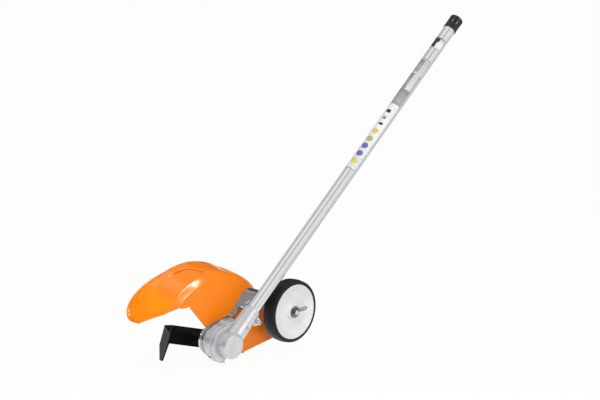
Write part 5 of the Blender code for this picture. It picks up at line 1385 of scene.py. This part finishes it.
def floor():
    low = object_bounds()[0].z
    half = FLOOR_SIZE / 2
    mesh = bpy.data.meshes.new("floor")
    mesh.from_pydata([(-half, -half, low), (half, -half, low), (half, half, low), (-half, half, low)], [],
                     ONE_FACE)
    material = bpy.data.materials.new("floor_paper")
    material.use_nodes = True
    tree = material.node_tree
    paper = tree.nodes["Principled BSDF"]
    paper.inputs['Base Color'].default_value = (*FLOOR_PAPER, 1)
    paper.inputs['Roughness'].default_value = 0.9
    glow = tree.nodes.new('ShaderNodeEmission')
    glow.inputs['Color'].default_value = (1, 1, 1, 1)
    share = arithmetic(tree, 'MULTIPLY', seen_directly(tree), FLOOR_LIFT)
    mix_shaders(tree, share, paper, glow, "Material Output")
    piece("floor", mesh, Matrix(), material)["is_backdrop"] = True


def surround():
    world = bpy.data.worlds.new("white_studio")
    bpy.context.scene.world = world
    world.use_nodes = True
    tree = world.node_tree
    light = tree.nodes["Background"]
    light.inputs['Color'].default_value = (1, 1, 1, 1)
    light.inputs['Strength'].default_value = SURROUND
    backdrop = tree.nodes.new('ShaderNodeBackground')
    backdrop.inputs['Strength'].default_value = 1.0
    mix_shaders(tree, seen_directly(tree), light, backdrop, "World Output")


def area_light(name, size, power, place):
    light = bpy.data.lights.new(name, 'AREA')
    light.shape = 'RECTANGLE'
    light.size, light.size_y = size
    light.energy = power
    return piece(name, light, place)


def lamp(name, direction, size, power):
    """Square soft box that faces the head and is left out of reflections."""
    item = area_light(name, (size, size), power, Matrix())
    item.location = HEAD + STUDIO_REACH * Vector(direction).normalized()
    item.rotation_euler = Vector(direction).to_track_quat('Z', 'Y').to_euler()
    item.visible_glossy = False


def glint(name, start, end, width, radiance, piece_name):
    """Oblong light from one direction to another, that only draws a highlight on one piece."""
    first, last = (STUDIO_REACH * Vector(direction).normalized() for direction in (start, end))
    out = (first + last).normalized()
    along = (last - first - (last - first).dot(out) * out).normalized()
    length = (last - first).length
    turn = Matrix((along, out.cross(along), out)).transposed().to_4x4()
    item = area_light(name, (length, width), WATTS_PER_RADIANCE * length * width * radiance,
                      Matrix.Translation(HEAD + (first + last) / 2) @ turn)
    item.visible_diffuse = False
    item.data.use_shadow = False
    shown_in = bpy.data.collections.new(f"{name}_piece")
    shown_in.objects.link(bpy.data.objects[piece_name])
    item.light_linking.receiver_collection = shown_in


def panel(name, points, shade, faces=ONE_FACE):
    """Card that only shows in reflections; its points are given from the head."""
    mesh = bpy.data.meshes.new(name)
    mesh.from_pydata([HEAD + Vector(point) for point in points], [], faces)
    material = bpy.data.materials.new(name)
    material.use_nodes = True
    tree = material.node_tree
    glow = tree.nodes.new('ShaderNodeEmission')
    glow.inputs['Color'].default_value = (1, 1, 1, 1)
    glow.inputs['Strength'].default_value = shade
    tree.links.new(glow.outputs[0], tree.nodes["Material Output"].inputs['Surface'])
    item = piece(name, mesh, Matrix(), material)
    item.visible_camera = False
    item.visible_diffuse = False
    item.visible_shadow = False
    item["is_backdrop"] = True


def card(name, directions, distance, shade):
    """Four-cornered card whose corners lie in given directions from the head."""
    panel(name, [distance * Vector(corner).normalized() for corner in directions], shade)


def streak(name, start, end, shade):
    """Long card beside the boom, that draws one streak along the whole tube."""
    along = STREAK_HALF_LENGTH * UP_BOOM
    middle = STREAK_MIDDLE * UP_BOOM
    first = middle + STUDIO_REACH * Vector(start).normalized()
    last = middle + STUDIO_REACH * Vector(end).normalized()
    panel(name, [first - along, first + along, last + along, last - along], shade)


def dark_wall(name, start, end, low, high, radius, shade):
    """Curved dark wall behind the object, between two angles from +X toward +Y."""
    rim = arc(radius, start, end, DARK_WALL_STEPS)
    points = [(x, y, level) for x, y in rim for level in (low, high)]
    faces = [(corner, corner + 2, corner + 3, corner + 1) for corner in range(0, 2 * DARK_WALL_STEPS, 2)]
    panel(name, points, shade, faces)


CAMERA_AZIMUTH = math.radians(223.03)
CAMERA_ELEVATION = math.radians(15.8)
CAMERA_DISTANCE = 9.0
SENSOR = 36.0
PHOTO_WIDTH = 600
PHOTO_HEIGHT = 400
FOCAL_PIXELS = 4530
HEAD_IN_PHOTO = (228.03, 345.02)


def camera():
    sin_a, cos_a = math.sin(CAMERA_AZIMUTH), math.cos(CAMERA_AZIMUTH)
    sin_e, cos_e = math.sin(CAMERA_ELEVATION), math.cos(CAMERA_ELEVATION)
    back = Vector((sin_a * cos_e, -cos_a * cos_e, sin_e))
    right = Vector((cos_a, sin_a, 0))
    up = back.cross(right)
    data = bpy.data.cameras.new("camera")
    data.sensor_width = SENSOR
    data.lens = FOCAL_PIXELS / PHOTO_WIDTH * SENSOR
    data.clip_end = 100
    per_pixel = CAMERA_DISTANCE / FOCAL_PIXELS
    spot = (HEAD + back * CAMERA_DISTANCE - right * (HEAD_IN_PHOTO[0] - PHOTO_WIDTH / 2) * per_pixel
            + up * (HEAD_IN_PHOTO[1] - PHOTO_HEIGHT / 2) * per_pixel)
    turn = Matrix((right, up, back)).transposed().to_4x4()
    bpy.context.scene.camera = piece("camera", data, Matrix.Translation(spot) @ turn)


floor()
surround()
lamp("key_softbox", (-0.33, 0.46, 0.82), 1.2, 24.5)
lamp("fill_softbox", (-0.86, 0.32, 0.40), 1.4, 29.0)
dark_wall("dark_wall", -110, 75, low=0.28, high=3.2, radius=4.0, shade=0.10)
card("left_dark_card", LEFT_DARK_CARD, 1.3, 0.15)

# Highlights: name, directions from the head between which the lamp lies, width, radiance and piece
glint("wing_glint", (0.76, 0.02, 0.61), (0.225, 0.09, 0.945), 1.3, 1.6, "deflector_moulding")
glint("shoulder_glint", (-0.33, 0.15, 0.93), (-0.51, -0.42, 0.75), 0.57, 42.0, "deflector_moulding")
glint("fold_glint", (-0.72, 0.12, 0.68), (-0.75, -0.435, 0.49), 0.34, 36.0, "deflector_moulding")
glint("ring_glint", (0.66, 0.38, 0.65), (0.68, 0.52, 0.51), 0.60, 3.0, "thrust_ring_turned")
glint("barrel_glint", (0.66, 0.30, 0.70), (0.66, 0.56, 0.50), 1.6, 1.5, "housing_casting")
glint("neck_glint", (-0.80, 0.0, 0.60), (-0.85, -0.42, 0.32), 1.4, 1.0, "housing_casting")
glint("strap_glint", (0.64, 0.18, 0.75), (0.66, 0.48, 0.58), 1.6, 1.6, "bracket_pressing")
# Painted shadow: the dark card under the head darkens the floor where the metal mirrors it.
panel("under_card", FLOOR_SHADOW_CARD, 0.03)
glint("cap_left_glint", (-0.02, 0.293, 2.72), (-0.02, -0.173, 3.10), 0.12, 60.0, "cap_moulding")
glint("cap_right_glint", (-2.275, -0.98, 1.127), (-2.275, -1.446, 1.503), 0.12, 60.0, "cap_moulding")
for number, (start, end, shade) in enumerate(TUBE_STREAKS):
    streak(f"streak_card_{number}", start, end, shade)
panel("grey_floor_card", GREY_FLOOR_CARD, 0.60)
camera()
bpy.context.scene.view_settings.view_transform = 'Standard'
